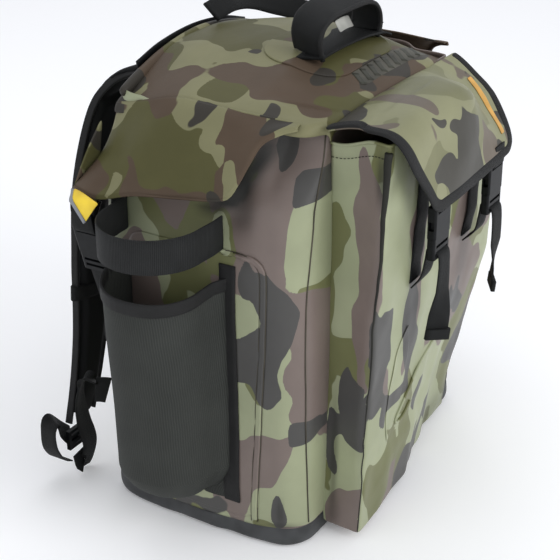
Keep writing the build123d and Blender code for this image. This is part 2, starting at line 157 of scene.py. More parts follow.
def surface(name, rows, finish, around=False, caps=False, thick=0.0, level=1):
    """A mesh through rows of points. Its cloth map runs across and along it, in metres."""
    n = len(rows[0])
    wide = n + 1 if around else n
    across = [[0.0] * wide for _ in rows]
    along = [[0.0] * wide for _ in rows]
    for i, row in enumerate(rows):
        for j in range(1, wide):
            across[i][j] = across[i][j - 1] + (Vector(row[j % n]) - Vector(row[j - 1])).length * MM
        if i:
            for j in range(wide):
                along[i][j] = along[i - 1][j] + (Vector(row[j % n]) - Vector(rows[i - 1][j % n])).length * MM
    faces, corners = [], []
    for i in range(len(rows) - 1):
        for j in range(wide - 1):
            square = [(i, j), (i, j + 1), (i + 1, j + 1), (i + 1, j)]
            faces.append([a * n + b % n for a, b in square])
            corners.append([(across[a][b], along[a][b]) for a, b in square])
    if caps:
        last = len(rows) - 1
        for i, order in ((0, range(n - 1, -1, -1)), (last, range(n))):
            faces.append([i * n + j for j in order])
            corners.append([(across[i][j], along[i][j]) for j in order])
    obj = mesh_object(name, [p for row in rows for p in row], faces, corners, finish)
    if level:
        subdivide(obj, level)
    if thick:
        depth = obj.modifiers.new("thickness", "SOLIDIFY")
        depth.thickness = abs(thick) * MM
        depth.offset = 1 if thick > 0 else -1
        depth.use_even_offset = True
    return settle(obj, outward=bool(thick) or caps)


def band(width, thick):
    """Cross-section of webbing: a flat strip with soft edges."""
    w, h = width / 2, thick / 2
    side = [(-w, -h * 0.35), (-w + 0.5, -h), (-w / 2, -h), (0, -h), (w / 2, -h), (w - 0.5, -h), (w, -h * 0.35)]
    return side + [(-a, -b) for a, b in side]


def oval(wide, high, count=16):
    return [(wide * cos(2 * pi * k / count), high * sin(2 * pi * k / count)) for k in range(count)]


def disc(radius):
    return oval(radius, radius, 10)


def sweep(name, line, across, section, finish, count=48, level=0, scale=None, straight=False):
    """A cross-section carried along a line. across gives the direction of its width at even steps along it."""
    points = evenly([Vector(p) for p in line], count) if straight else curve(line, count)
    across = [Vector(a) for a in (across if isinstance(across, list) else [across, across])]
    rows = []
    for i, p in enumerate(points):
        t = i / (len(points) - 1)
        ahead = points[min(i + 1, len(points) - 1)] - points[max(i - 1, 0)]
        ahead.normalize()
        k = min(int(t * (len(across) - 1)), len(across) - 2)
        side = across[k].lerp(across[k + 1], t * (len(across) - 1) - k)
        side = (side - ahead * side.dot(ahead)).normalized()
        up = ahead.cross(side)
        grow = scale(t) if scale else 1.0
        rows.append([p + side * a * grow + up * b * grow for a, b in section])
    return surface(name, rows, finish, around=True, caps=True, level=level)


def join(name, objects):
    """One object out of several, with the first one's material."""
    work = bmesh.new()
    for obj in objects:
        work.from_mesh(obj.data)
    mesh = bpy.data.meshes.new(name)
    work.to_mesh(mesh)
    work.free()
    mesh.materials.append(objects[0].data.materials[0])
    for obj in objects:
        bpy.data.objects.remove(obj)
    return add(name, mesh)


def stitches(name, line, finish, pitch=4.2, length=2.8, radius=0.42):
    """A row of stitches along a line that already lies on its fabric."""
    total = sum((b - a).length for a, b in zip(line, line[1:]))
    steps = evenly(line, max(int(total / pitch), 2))
    points, faces = [], []
    for a, b in zip(steps, steps[1:]):
        ahead = (b - a).normalized()
        side = ahead.orthogonal().normalized()
        up = ahead.cross(side)
        base = len(points)
        for share, grow in ((-0.5, 0.3), (-0.35, 1.0), (0.35, 1.0), (0.5, 0.3)):
            centre = (a + b) / 2 + ahead * length * share
            for k in range(6):
                points.append(centre + (side * cos(pi * k / 3) + up * sin(pi * k / 3)) * radius * grow)
        for ring in range(base, base + 18, 6):
            for k in range(6):
                m = (k + 1) % 6
                faces.append([ring + k, ring + m, ring + 6 + m, ring + 6 + k])
        faces.append([base + k for k in range(5, -1, -1)])
        faces.append([base + 18 + k for k in range(6)])
    return mesh_object(name, points, faces, [[(0.0, 0.0)] * len(face) for face in faces], finish)


def corner_cut(near, radius):
    """How far a rounded corner cuts in, at a distance from the end of the patch."""
    return radius - sqrt(max(radius**2 - (radius - near) ** 2, 0)) if near < radius else 0


def rounded(low, high, radius, steps):
    """Places from low to high, closer together at the ends, each with the cut of its corners."""
    for k in range(steps + 1):
        at = low + (high - low) * (0.5 - 0.5 * cos(pi * k / steps))
        yield at, corner_cut(min(at - low, high - at), radius)


def place(obj, body, slot, *nodes):
    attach(obj, body)
    if nodes:
        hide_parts(*nodes)


def to_right(name):
    return name.replace("_left", "_right")


def other_side(obj):
    """The same piece on the wearer's right."""
    mesh = obj.data.copy()
    mesh.transform(Matrix.Scale(-1, 4, (1, 0, 0)))
    mesh.flip_normals()
    return add(to_right(obj.name), mesh)


def place_both(obj, body, slot, *nodes):
    """Places a piece of the left and its mirror image. Nodes named for the left have a twin as well."""
    place(obj, body, slot, *nodes)
    place(other_side(obj), to_right(body), slot, *[to_right(n) for n in nodes if n.endswith("_left")])


# ---------------------------------------------------------------- marks in the cloth
def vertex_layer(obj, name, kind):
    return obj.data.attributes.get(name) or obj.data.attributes.new(name, kind, "POINT")


def strength_at(a, b, spots):
    """Sum of soft spots, each given by its place, its half sizes and its strength."""
    return sum(
        strength * exp(-((((a - at_a) / half_a) ** 2 + ((b - at_b) / half_b) ** 2) ** 1.5))
        for at_a, at_b, half_a, half_b, strength in spots
    )


def mark_print(obj, first, second, spots, where=None):
    """Marks where large blotches of the print lie, seen along the axis that is not first or second."""
    layer = vertex_layer(obj, "print", "FLOAT_VECTOR")
    for vertex, value in zip(obj.data.vertices, layer.data):
        if where and not where(vertex.co / MM):
            continue
        a, b = vertex.co[first] / MM, vertex.co[second] / MM
        a += 5 * crumple(a, b, 0, 30, 0.9)
        b += 8 * crumple(a, b, 0, 34, 5.9)
        sage, olive, brown, charcoal = (strength_at(a, b, spots[c]) for c in ("sage", "olive", "brown", "charcoal"))
        value.vector = (olive - sage, brown - 0.6 * olive - sage, charcoal - 0.6 * (olive + brown) - sage)


def paint_fold_shade(obj, first, second, spots):
    """Paints shade: marks where the cloth sinks into a deep fold and hardly any light gets in, so the camouflage
    darkens the colour there as painted shade.
    """
    for vertex, value in zip(obj.data.vertices, vertex_layer(obj, "fold", "FLOAT").data):
        value.value = min(strength_at(vertex.co[first] / MM, vertex.co[second] / MM, spots), 1)


# ---------------------------------------------------------------- materials
def tone(red, green, blue):
    """Linear colour from the 0 to 255 values seen on screen."""
    values = [((c / 255 + 0.055) / 1.055) ** 2.4 if c > 10 else c / 255 / 12.92 for c in (red, green, blue)]
    return (*values, 1)


def shades(color, dark, pale):
    """A darker and a paler version of a colour."""
    return [tuple(min(c * by, 1) for c in color[:3]) + (1,) for by in (dark, pale)]


class Finish:
    """Builds a node material step by step."""

    def __init__(self, name, roughness, specular=0.5):
        self.material = bpy.data.materials.new(name)
        self.material.use_nodes = True
        self.tree = self.material.node_tree
        self.shader = self.tree.nodes["Principled BSDF"]
        self.feed(self.shader, {"Roughness": roughness, "Specular IOR Level": specular})
        self.place = self.node("TexCoord", {}, "Object")
        self.cloth = self.place.node.outputs["UV"]

    def feed(self, node, inputs):
        """An input takes a number, a colour or the output of another node."""
        for key, value in inputs.items():
            if isinstance(value, bpy.types.NodeSocket):
                self.tree.links.new(value, node.inputs[key])
            else:
                node.inputs[key].default_value = value

    def node(self, kind, inputs, output, **settings):
        node = self.tree.nodes.new("ShaderNode" + kind)
        for key, value in settings.items():
            setattr(node, key, value)
        self.feed(node, inputs)
        return node.outputs[output]

    def scaled(self, source, size=(1, 1, 1), shift=(0, 0, 0)):
        return self.node("Mapping", {"Vector": source, "Scale": size, "Location": shift}, "Vector")

    def noise(self, vector, scale, detail=2.0, rough=0.5, twist=0.0):
        inputs = {"Vector": vector, "Scale": scale, "Detail": detail, "Roughness": rough, "Distortion": twist}
        return self.node("TexNoise", inputs, "Fac")

    def wave(self, vector, scale, direction="X", twist=0.0):
        inputs = {"Vector": vector, "Scale": scale, "Distortion": twist}
        return self.node("TexWave", inputs, "Fac", bands_direction=direction)

    def step(self, value, low, high):
        inputs = {"Value": value, "From Min": low, "From Max": high}
        return self.node("MapRange", inputs, "Result", interpolation_type="SMOOTHSTEP")

    def sums(self, a, b, kind="ADD"):
        return self.node("Math", {0: a, 1: b}, 0, operation=kind)

    def mix(self, share, first, second):
        return self.node("Mix", {"Factor": share, 6: first, 7: second}, 2, data_type="RGBA")

    def bump(self, height, strength, distance=0.001, under=None):
        inputs = {"Height": height, "Strength": strength, "Distance": distance}
        if under:
            inputs["Normal"] = under
        return self.node("Bump", inputs, "Normal")

    def done(self, color, normal=None):
        self.feed(self.shader, {"Base Color": color})
        if normal:
            self.feed(self.shader, {"Normal": normal})
        return self.material


def camouflage(name, shift, colors, amounts, shine=0.32):
    """Woodland print on coated cloth: tall blotches of four colours with crisp edges. Where a mesh carries the fold
    mark, painted shade darkens the colour towards near-black.
    """
    f = Finish(name, 0.42, shine)
    spot = f.scaled(f.place, (1, 1, 0.6), shift)
    fray = f.noise(f.scaled(f.place, shift=shift), 48, 1.0)
    fray = f.sums(f.sums(fray, 0.5, "SUBTRACT"), 0.075, "MULTIPLY")
    marks = f.node("Attribute", {}, "Vector", attribute_name="print")
    placed = f.node("SeparateXYZ", {"Vector": marks}, 0).node.outputs
    color = colors[0]
    layers = zip((0.0, 3.7, 8.1), (11.5, 11.0, 14.5), amounts, placed, colors[1:])
    for seed, size, limit, mark, added in layers:
        moved = f.scaled(spot, shift=(seed, seed * 0.7, -seed))
        blotch = f.sums(f.sums(f.noise(moved, size, 1.3, 0.42, 0.55), fray), mark)
        color = f.mix(f.step(blotch, limit - 0.004, limit + 0.004), color, added)
    wear = f.step(f.noise(f.place, 14, 3.0, 0.6), 0.3, 0.75)
    value = f.sums(f.sums(wear, 0.14, "MULTIPLY"), 0.93)
    worn = f.node("HueSaturation", {"Value": value, "Color": color}, "Color")
    # Painted shade: the fold mark mixes the colour towards near-black where deep folds and recesses would lie in
    # shadow.
    fold_shade = f.node("Attribute", {}, "Fac", attribute_name="fold")
    shaded = f.mix(fold_shade, worn, tone(24, 24, 20))
    weave = f.sums(f.wave(f.place, 420, "Z"), f.wave(f.place, 420, "DIAGONAL"))
    soft = f.bump(f.noise(f.place, 26, 2.0, 0.5), 0.16, 0.004)
    return f.done(shaded, f.bump(weave, 0.05, 0.0003, soft))


def webbing_finish(name, color, ribs=420.0, strength=0.5):
    """Woven tape: ribs across it, with painted sheen on their tops and painted shade between them, broken up by
    wear.
    """
    f = Finish(name, 0.62, 0.16)
    rib = f.wave(f.cloth, ribs, "Y", 0.4)
    strand = f.wave(f.cloth, 260, "X", 0.3)
    worn = f.noise(f.place, 45, 3.0, 0.6)
    # Painted sheen and shade: a darker and a paler copy of the colour follow the ribs, times a wear noise.
    shade = f.mix(f.sums(rib, worn, "MULTIPLY"), *shades(color, 0.55, 1.5))
    return f.done(shade, f.bump(f.sums(rib, f.sums(strand, 0.5, "MULTIPLY")), strength, 0.0005))


def plain_cloth(name, color, roughness=0.8, grain=900.0, strength=0.35):
    f = Finish(name, roughness, 0.2)
    fine = f.noise(f.place, grain, 2.0, 0.6)
    broad = f.noise(f.place, 30, 2.0, 0.5)
    return f.done(f.mix(f.step(broad, 0.3, 0.7), *shades(color, 0.75, 1.25)), f.bump(fine, strength, 0.0006))


def mesh_finish(name, color, ribs, hole):
    """Knitted mesh: upright ribs with rows of small openings between them."""
    f = Finish(name, 0.72, 0.16)
    rib = f.wave(f.cloth, ribs, "X")
    knit = f.wave(f.cloth, hole, "Y")
    dots = f.sums(rib, knit, "MULTIPLY")
    patch = f.step(f.noise(f.place, 22, 2.0), 0.25, 0.8)
    share = f.sums(f.sums(dots, 0.75, "MULTIPLY"), f.sums(patch, 0.25, "MULTIPLY"))
    height = f.sums(rib, f.sums(knit, 0.4, "MULTIPLY"))
    return f.done(f.mix(share, *shades(color, 0.62, 1.28)), f.bump(height, 0.55, 0.0006))


def plastic(name, color):
    f = Finish(name, 0.4, 0.13)
    grain = f.noise(f.place, 1400, 2.0, 0.5)
    wear = f.noise(f.place, 90, 3.0, 0.6)
    return f.done(f.mix(f.step(wear, 0.35, 0.8), *shades(color, 1.0, 1.7)), f.bump(grain, 0.12, 0.0003))


BAG_COLORS = (tone(150, 155, 125), tone(106, 108, 72), tone(115, 103, 97), tone(72, 71, 69))
ROOF_COLORS = (tone(124, 122, 92), tone(84, 82, 52), tone(84, 71, 59), tone(60, 57, 52))
FLAP_COLORS = (tone(133, 133, 103), tone(116, 116, 86), tone(102, 93, 82), tone(66, 64, 58))
side_camo = camouflage("side_camo", (0.31, 0.2, 0.05), BAG_COLORS, (0.50, 0.52, 0.60))
front_camo = camouflage("front_camo", (1.7, 0.4, 0.33), BAG_COLORS, (0.53, 0.56, 0.585))
roof_camo = camouflage("roof_camo", (2.9, 0.1, 0.6), ROOF_COLORS, (0.50, 0.53, 0.63), 0.1)
flap_camo = camouflage("flap_camo", (4.4, 0.9, 0.2), FLAP_COLORS, (0.56, 0.62, 0.62), 0.2)
boot_finish = plain_cloth("boot_cloth", tone(64, 65, 66), 0.5, 700, 0.15)
mesh_grey = mesh_finish("pocket_mesh", tone(59, 61, 58), 120, 300)
pad_mesh = mesh_finish("air_mesh", tone(28, 29, 30), 210, 210)
black_webbing = webbing_finish("black_webbing", tone(29, 30, 30))
ribbed_webbing = webbing_finish("ribbed_webbing", tone(42, 43, 43), 160.0, 1.0)
binding_finish = webbing_finish("binding_tape", tone(40, 40, 40), 500.0, 0.35)
buckle_black = plastic("buckle_black", tone(16, 17, 18))
thread_dark = plain_cloth("thread_dark", tone(40, 40, 36), 0.7, 2000, 0.2)
seam_shade = plain_cloth("seam_shade", tone(74, 70, 60), 0.6, 900, 0.2)
yellow_lining = plain_cloth("yellow_lining", tone(240, 202, 66), 0.45, 800, 0.12)
grey_lining = plain_cloth("grey_lining", tone(128, 130, 134), 0.5, 800, 0.12)
amber_print = plain_cloth("amber_print", tone(206, 158, 82), 0.45, 700, 0.12)
dark_print = plain_cloth("dark_print", tone(76, 74, 66), 0.5, 700, 0.12)
roof_bar = plain_cloth("roof_bar", tone(58, 58, 50), 0.45, 700, 0.12)
tag_finish = plain_cloth("tag_cloth", tone(205, 205, 198), 0.7, 900, 0.3)

# ---------------------------------------------------------------- shell of the bag
CAMO = "camo_tarpaulin"
WEBBING = 25  # mm, the width of the buckle webbing
HALF_X = [
    (0, 178), (3, 190), (10, 196), (28, 199), (60, 200), (120, 199),
    (200, 196), (300, 193), (375, 190), (410, 181), (440, 170), (458, 164),
]
HALF_Y = [(0, 108), (3, 118), (10, 122), (28, 124), (80, 125), (375, 123.5), (458, 120)]
SWELL_X = [(0, 4), (20, 8), (90, 8), (200, 5), (330, 3), (420, 1), (458, 0)]
CORNER = 34.0
SHELL_TOP = 456.0


def side_x(y, z):
    """How far the side wall stands out at that place, wrinkles included."""
    out = look_up(z, HALF_X) + look_up(z, SWELL_X) * max(0.0, 1 - (y / 100) ** 2)
    out += 1.1 * crumple(0, y, z * 0.6, 46, 1.3) + 0.5 * crumple(0, y, z, 17, 4.1)
    out -= 27 * bump_at(y, -84, 18) * ease((z - 372) / 58)
    out -= 8 * bump_at(y + 0.5 * (z - 400), -62, 13) * bump_at(z, 384, 26)
    out -= 15 * ease((y - 50) / 55) * ease((z - 395) / 50)
    return out


def front_y(x, z):
    return -look_up(z, HALF_Y) - 0.8 * crumple(x, 0, z * 0.5, 60, 2.2)


def back_y(x, z):
    """How far back the rear wall stands, with a soft bulge at the small of the back."""
    bulge = 3 * bump_at(z, 60, 60) * (1 - (x / 190) ** 2)
    return look_up(z, HALF_Y) + 0.8 * crumple(x, 0, z * 0.5, 60, 5.2) + bulge


def shell_ring(z):
    """Closed outline of the shell at one height, from the front left corner round by the front."""
    fx, fy = look_up(z, HALF_X) - CORNER, look_up(z, HALF_Y) - CORNER
    points = [Vector((fx * x, front_y(fx * x, z), z)) for x in spread(-1, 1, 30)]
    for sx, sy, start in ((1, -1, -90), (1, 1, 0), (-1, 1, 90), (-1, -1, 180)):
        face = -front_y(sx * fx, z) if sy < 0 else back_y(sx * fx, z)
        radius_x, radius_y = side_x(sy * fy, z) - fx, face - fy
        for k in range(1, 8):
            turn = radians(start + 90 * k / 8)
            points.append(Vector((sx * fx + radius_x * cos(turn), sy * fy + radius_y * sin(turn), z)))
        if sx != sy:
            points += [Vector((sx * side_x(y, z), y, z)) for y in spread(sy * fy, -sy * fy, 26)]
        elif sx > 0:
            points += [Vector((x, back_y(x, z), z)) for x in spread(fx, -fx, 26)]
    return points


def boot_edge(point):
    return 23 + 3 * crumple(point.x, point.y, 0, 90, 0.4)


heights = [20, 26, 32, 40, 52, 66] + spread(82, 444, 30) + [450, SHELL_TOP]
shell = surface("shell", [shell_ring(z) for z in heights], side_camo, around=True, thick=-1.6)
place(shell, "bag", CAMO, "front_panel", "side_panel_left", "side_panel_right", "back_panel")

BOOT_FOOT = 0.1
BOOT_FLARE = [(0, 1.0), (4, 1.022), (12, 1.024), (30, 1.008)]
boot_rows = []
for share in (0.0, 0.12, 0.35, 0.7, 1.0):
    row = []
    for p in shell_ring(10):
        z = BOOT_FOOT + share * (boot_edge(p) - BOOT_FOOT)
        grow = look_up(z, BOOT_FLARE) + 0.005 * crumple(p.x, p.y, z, 30, 2.8)
        row.append(Vector((p.x * grow, p.y * grow, z)))
    boot_rows.append(row)
under = [[Vector((p.x * s, p.y * s, BOOT_FOOT)) for p in boot_rows[0]] for s in (0.02, 0.5, 0.93)]
boot = surface("boot", under + boot_rows, boot_finish, around=True, thick=-1.4)
place(boot, "bag", "boot_tarpaulin", "base_panel")


def side_strip(name, line, section, finish, out):
    """Something laid along the left wall, given by (y, z) points."""
    points = curve([(0, y, z) for y, z in line], 70)
    laid = [Vector((-side_x(p.y, p.z) - out, p.y, p.z)) for p in points]
    return sweep(name, laid, (0, 1, 0.001), section, finish, count=70, straight=True)


patch_rows = []
for z, cut in rounded(30, 328, 20, 28):
    patch_rows.append([Vector((-side_x(y, z) - 0.5, y, z)) for y in spread(-78 + cut, 82 - cut, 22)])
patch = surface("side_patch_left", patch_rows, side_camo, thick=-0.7)
ridge_line = [(-30, 327), (-62, 327), (-76, 322), (-81, 306), (-80, 228), (-76, 109), (-72, 26)]
ridge = side_strip("patch_weld_left", ridge_line, band(6.5, 2.6), side_camo, 0.7)
grooves = []
for s in (-1, 1):
    beside = [(y + s * 3.6, z + s * 2.2 * (z > 310)) for y, z in ridge_line]
    grooves.append(side_strip("groove", beside, disc(0.5), seam_shade, 0.9))
groove = join("patch_groove_left", grooves)
# The seam climbs the rounded front corner. Its turn is 0 degrees at the side and 90 at the front
SEAM_TURN = [(26, 72), (60, 70), (146, 62), (230, 58), (288, 60), (360, 70), (412, 72), (446, 64)]
seam_line = []
for z in spread(446, 26, 50):
    fx, fy = look_up(z, HALF_X) - CORNER, look_up(z, HALF_Y) - CORNER
    rx, ry = side_x(-fy, z) - fx + 0.3, -front_y(-fx, z) - fy + 0.3
    turn = radians(look_up(z, SEAM_TURN))
    seam_line.append(Vector((-fx - rx * cos(turn), -fy - ry * sin(turn), z)))
seam = sweep("corner_seam_left", seam_line, (1, 0, 0), disc(0.7), seam_shade, count=80, straight=True)
SIDE_PRINT = {
    "sage": [
        (-34, 346, 12, 24, 0.5), (-62, 262, 15, 30, 0.3), (-72, 150, 34, 28, 0.3), (-88, 52, 16, 22, 0.4),
        (-120, 342, 16, 40, 0.5), (-117, 66, 17, 40, 0.7),
    ],
    "olive": [
        # The first olive spot lies in the recess under the ear: partly print, partly painted shade.
        (-64, 396, 14, 24, 0.5), (-40, 335, 16, 42, 0.45), (-80, 24, 13, 9, 0.5), (-124, 292, 12, 12, 0.3),
    ],
    "brown": [
        (-60, 420, 75, 130, 0.3), (-78, 100, 40, 34, 0.34), (-114, 434, 14, 24, 0.6), (-122, 268, 14, 30, 0.36),
        (-122, 190, 13, 42, 0.36), (-114, 18, 16, 9, 0.6),
    ],
    "charcoal": [
        # The first charcoal spot lies in the recess under the ear: partly print, partly painted shade.
        (-88, 424, 10, 22, 0.6), (-64, 308, 10, 26, 0.3), (-84, 292, 13, 24, 0.3), (-98, 262, 13, 34, 0.32),
        (-66, 214, 30, 24, 0.32), (-84, 180, 16, 30, 0.3), (-121, 397, 16, 16, 0.9), (-120, 132, 16, 24, 0.36),
        (-98, 48, 7, 19, 1.2),
    ],
}
# Painted shade on the side wall: spots in the recess under the ear and in a fold low near the front corner.
SIDE_FOLD_SHADE = [
    (-66, 426, 10, 16, 0.95), (-54, 405, 14, 15, 0.95), (-44, 389, 15, 11, 0.95), (-32, 378, 16, 8, 0.85),
    (-20, 368, 16, 6, 0.7), (-54, 370, 18, 20, 0.5), (-101, 44, 4, 16, 0.5), (-102, 26, 14, 4, 0.5),
]
for obj in (shell, patch, ridge):
    mark_print(obj, 1, 2, SIDE_PRINT)
paint_fold_shade(shell, 1, 2, SIDE_FOLD_SHADE)
place_both(patch, "bag", CAMO, "side_patches")
for obj in (ridge, seam, groove):
    place_both(obj, "bag", CAMO)

# ---------------------------------------------------------------- roof and ears
ROOF_FRONT = -121
ROOF_HALF = [(-121, 159), (-45, 164), (25, 160), (70, 157), (105, 151), (118, 148)]
ROOF_EDGE = [(-121, 457.5), (-45, 462), (25, 465), (70, 459), (105, 455), (118, 453)]
ROOF_CROWN = [(-121, 460.5), (-100, 470), (-45, 491), (25, 495), (70, 493), (105, 487), (118, 483)]


def roof_z(x, y):
    half, edge, crown = look_up(y, ROOF_HALF), look_up(y, ROOF_EDGE), look_up(y, ROOF_CROWN)
    height = crown - (crown - edge) * min(abs(x) / half, 1.1) ** 2
    height += 1.0 * crumple(x, y, 0, 70, 6.3) * (1 - min(abs(x) / half, 1) ** 4)
    height -= 3.0 * bump_at(x + 0.4 * (y + 90), -118, 9) * bump_at(y, -88, 30)
    height += 2.4 * bump_at(x + 0.4 * (y + 90), -134, 8) * bump_at(y, -88, 30)
    height -= 15 * ease((x - 78) / 84) * ease((40 - y) / 90)
    height -= 9 * ease((-x - 60) / 90) * ease((y - 40) / 70)
    return height


def roof_half(y):
    """Half width of the roof, with its front corners rounded off."""
    return look_up(y, ROOF_HALF) + 1.5 - corner_cut(y - ROOF_FRONT, 24)


roof_rows = []
for y in spread(ROOF_FRONT, 118, 41):
    half = roof_half(y)
    row = [Vector((x, y, roof_z(x, y))) for x in spread(-half, half, 45)]
    left_lip = [row[0] + Vector((-6, 0, -10)), row[0] + Vector((-4, 0, -3.5))]
    right_lip = [row[-1] + Vector((4, 0, -3.5)), row[-1] + Vector((6, 0, -10))]
    roof_rows.append(left_lip + row + right_lip)
front_lip = [[p + Vector((0, -out, -drop)) for p in roof_rows[0]] for out, drop in ((3.9, 10), (3.2, 3))]
roof = surface("roof", front_lip + roof_rows, roof_camo, thick=1.4)
ROOF_PRINT = {
    "sage": [(-46, -24, 17, 18, 0.55), (-84, 64, 22, 22, 0.4), (-84, 12, 9, 30, 0.4)],
    "olive": [
        (-26, 42, 40, 32, 0.5), (-143, -8, 15, 26, 0.6), (-106, -103, 14, 8, 0.6), (30, 88, 60, 22, 0.36),
        (60, -60, 60, 26, 0.2),
    ],
    "brown": [(-108, -40, 26, 54, 0.6), (-60, -98, 38, 9, 0.4), (-132, -106, 18, 12, 0.5)],
    "charcoal": [(-74, -76, 16, 8, 0.55), (40, -104, 88, 13, 0.36)],
}
mark_print(roof, 0, 1, ROOF_PRINT)
place(roof, "roll_top", CAMO, "top_panel")


def on_roof(x, y, lift):
    return Vector((x, y, roof_z(x, y) + lift))


def roof_patch(name, y0, y1, x0, x1, radius, out, finish, thick):
    """A rounded patch that follows the roof."""
    rows = [[on_roof(x, y, out) for x in spread(x0 + cut, x1 - cut, 34)] for y, cut in rounded(y0, y1, radius, 20)]
    return surface(name, rows, finish, thick=thick)


panel = roof_patch("roof_patch", -90, 4, -78, 84, 40, 1.2, roof_camo, 1.6)
mark_print(panel, 0, 1, ROOF_PRINT)
place(panel, "roll_top", CAMO)

ear_edge = curve(
    [
        (-169, -105, 457), (-178, -91, 453), (-189, -77, 444), (-201, -69, 426), (-210, -60, 404), (-214, -49, 392),
        (-215, 0, 384), (-219, 50, 379), (-228, 88, 371), (-233, 104, 375), (-229, 118, 377),
    ],
    40,
)
ear_rows = []
for i, edge in enumerate(ear_edge):
    v = i / (len(ear_edge) - 1)
    y = -104 + 220 * v**1.1
    top = on_roof(-roof_half(y), y, 0.8) - Vector((0.5, 0, 0))
    fall = (edge - top).length
    out = Vector((-(0.10 + 0.32 * v) * fall, 0, -0.10 * fall))
    rise = Vector((0.14 * fall * (1 - 0.8 * v), 0, fall * (0.40 - 0.22 * v)))
    out = out.lerp(Vector((-0.06 * fall, 0, -0.36 * fall)), v**3)
    rise = rise.lerp(Vector((0.36 * fall, 0, 0.10 * fall)), v**3)
    row = []
    for k, s in enumerate(spread(0, 1, 15)):
        p = bezier(top, top + out, edge + rise, edge, s)
        row.append(p + Vector((-1, 0, 0.3)) * (1.6 * crumple(p.x, p.y, p.z, 38, 7.7) * ease(k / 6)))
    ear_rows.append(row)
ear_left = surface("ear_cloth_left", ear_rows, roof_camo, thick=-1.8)
EAR_PRINT = {
    "sage": [
        (-25, 439, 7, 12, 0.55), (-40, 427, 9, 10, 0.5), (-55, 415, 9, 10, 0.55), (-60, 398, 7, 12, 0.6),
        (80, 392, 16, 16, 0.3),
    ],
    "olive": [(-26, 408, 20, 20, 0.5), (60, 420, 44, 30, 0.3)],
    "brown": [(-58, 434, 40, 34, 0.4), (108, 372, 14, 16, 0.3)],
    "charcoal": [(-86, 457, 14, 8, 0.6), (-40, 392, 14, 10, 0.34)],
}
mark_print(ear_left, 1, 2, EAR_PRINT)
hem_line = [row[-1] + Vector((-0.3, 0, -0.2)) for row in ear_rows]
ear_hem = sweep("ear_hem_left", hem_line, (0.3, 0, 1), band(3.4, 2.6), roof_camo, count=60)
mark_print(ear_hem, 1, 2, EAR_PRINT)
place_both(ear_left, "roll_top", CAMO, "ear_left")
place_both(ear_hem, "roll_top", CAMO)

crease_line = [on_roof(-roof_half(y), y, 1.6) - Vector((1.2, 0, 0)) for y in spread(-100, -22, 30)]
crease = sweep(
    "crease_fold_left", crease_line, (0.4, 0, 1), disc(1.3), roof_camo, count=50,
    scale=lambda t: sin(pi * t) ** 0.5 + 0.1,
)
place(crease, "roll_top", CAMO)

# Cloth that closes each ear at the back, and the yellow lining turned out below its tip
closing_rows = []
for s in spread(0, 1, 9):
    a = Vector((-227, 119, 375)).lerp(Vector((-207, 121, 331)), s)
    b = Vector((-172, 121.5, 432)).lerp(Vector((-189, 122, 341)), s)
    closing_rows.append([a.lerp(b, t) + Vector((0, 2.2 * sin(pi * t), 0)) for t in spread(0, 1, 9)])
closing = surface("ear_back_left", closing_rows, roof_camo, thick=1.0)


def turned_out(y, z):
    """The turned out lining passes outside the webbing tab of the ear."""
    return Vector((-235 - 11 * ease((120 - y) / 7) * ease((379 - z) / 8), y, z))


lining_rows, grey_line = [], []
for s in spread(0, 1, 9):
    rear, front = (113 - 21 * s, 379 - 28 * s), (76 + 16 * s, 373 - 22 * s)
    dy, dz = front[0] - rear[0], front[1] - rear[1]
    lining_rows.append([turned_out(rear[0] + dy * t, rear[1] + dz * t) for t in spread(0, 1, 9)])
    grey_line.append(turned_out(*rear) + Vector((-0.6, 0.6, -1.2)))
lining = surface("mouth_lining_left", lining_rows, yellow_lining, thick=1.0)
grey = sweep("lining_edge_left", grey_line, (0, 1, 0.6), band(4, 2.0), grey_lining, count=20)
keeper_line = [(-187, 124, 347), (-192, 125, 337), (-199, 125, 327)]
keeper = sweep("lining_keeper_left", keeper_line, (0, 1, 0), band(12, 3.0), buckle_black, count=14)
place_both(closing, "roll_top", CAMO)
place_both(lining, "roll_top", "lining", "mouth_lining")
place_both(grey, "roll_top", "lining")
place_both(keeper, "roll_top", "stiffener_plastic")

# Rolled mouth along the back of the roof
mouth_half = [(150, 112, 453), (112, 114, 463), (60, 115, 475)]
mouth_line = [(-x, y, z) for x, y, z in mouth_half] + [(0, 115, 481)] + mouth_half[::-1]
roll = sweep(
    "mouth_roll_cloth", mouth_line, (0, 1, 0), oval(7.4, 8.6), roof_camo, count=60, level=1,
    scale=lambda t: 0.55 + 0.45 * sin(pi * t) ** 0.4,
)
place(roll, "roll_top", CAMO, "mouth_roll")
stiff_line = [(-104, 124.8, 467), (-60, 124.8, 478), (0, 124.8, 483), (60, 124.8, 478), (104, 124.8, 467)]
stiff = sweep("mouth_stiffener_band", stiff_line, (0, 0, 1), band(14, 2.4), buckle_black, count=50)
place(stiff, "roll_top", "stiffener_plastic", "mouth_stiffener")
closure_line = [
    (20, 114, 499), (58, 113, 503), (97, 110, 497), (125, 94, 487),
    (146, 70, 479), (155, 35, 474), (157, 0, 472), (155, -25, 464),
]
closure_turns = [(0, 0.7, 0.7), (0, 0.7, 0.7), (0.4, 0.5, 0.8), (0.2, 0.1, 1), (0.2, 0, 1)]
closure = sweep("mouth_band", closure_line, closure_turns, band(WEBBING, 3.4), black_webbing, count=60)
place(closure, "roll_top", "webbing")

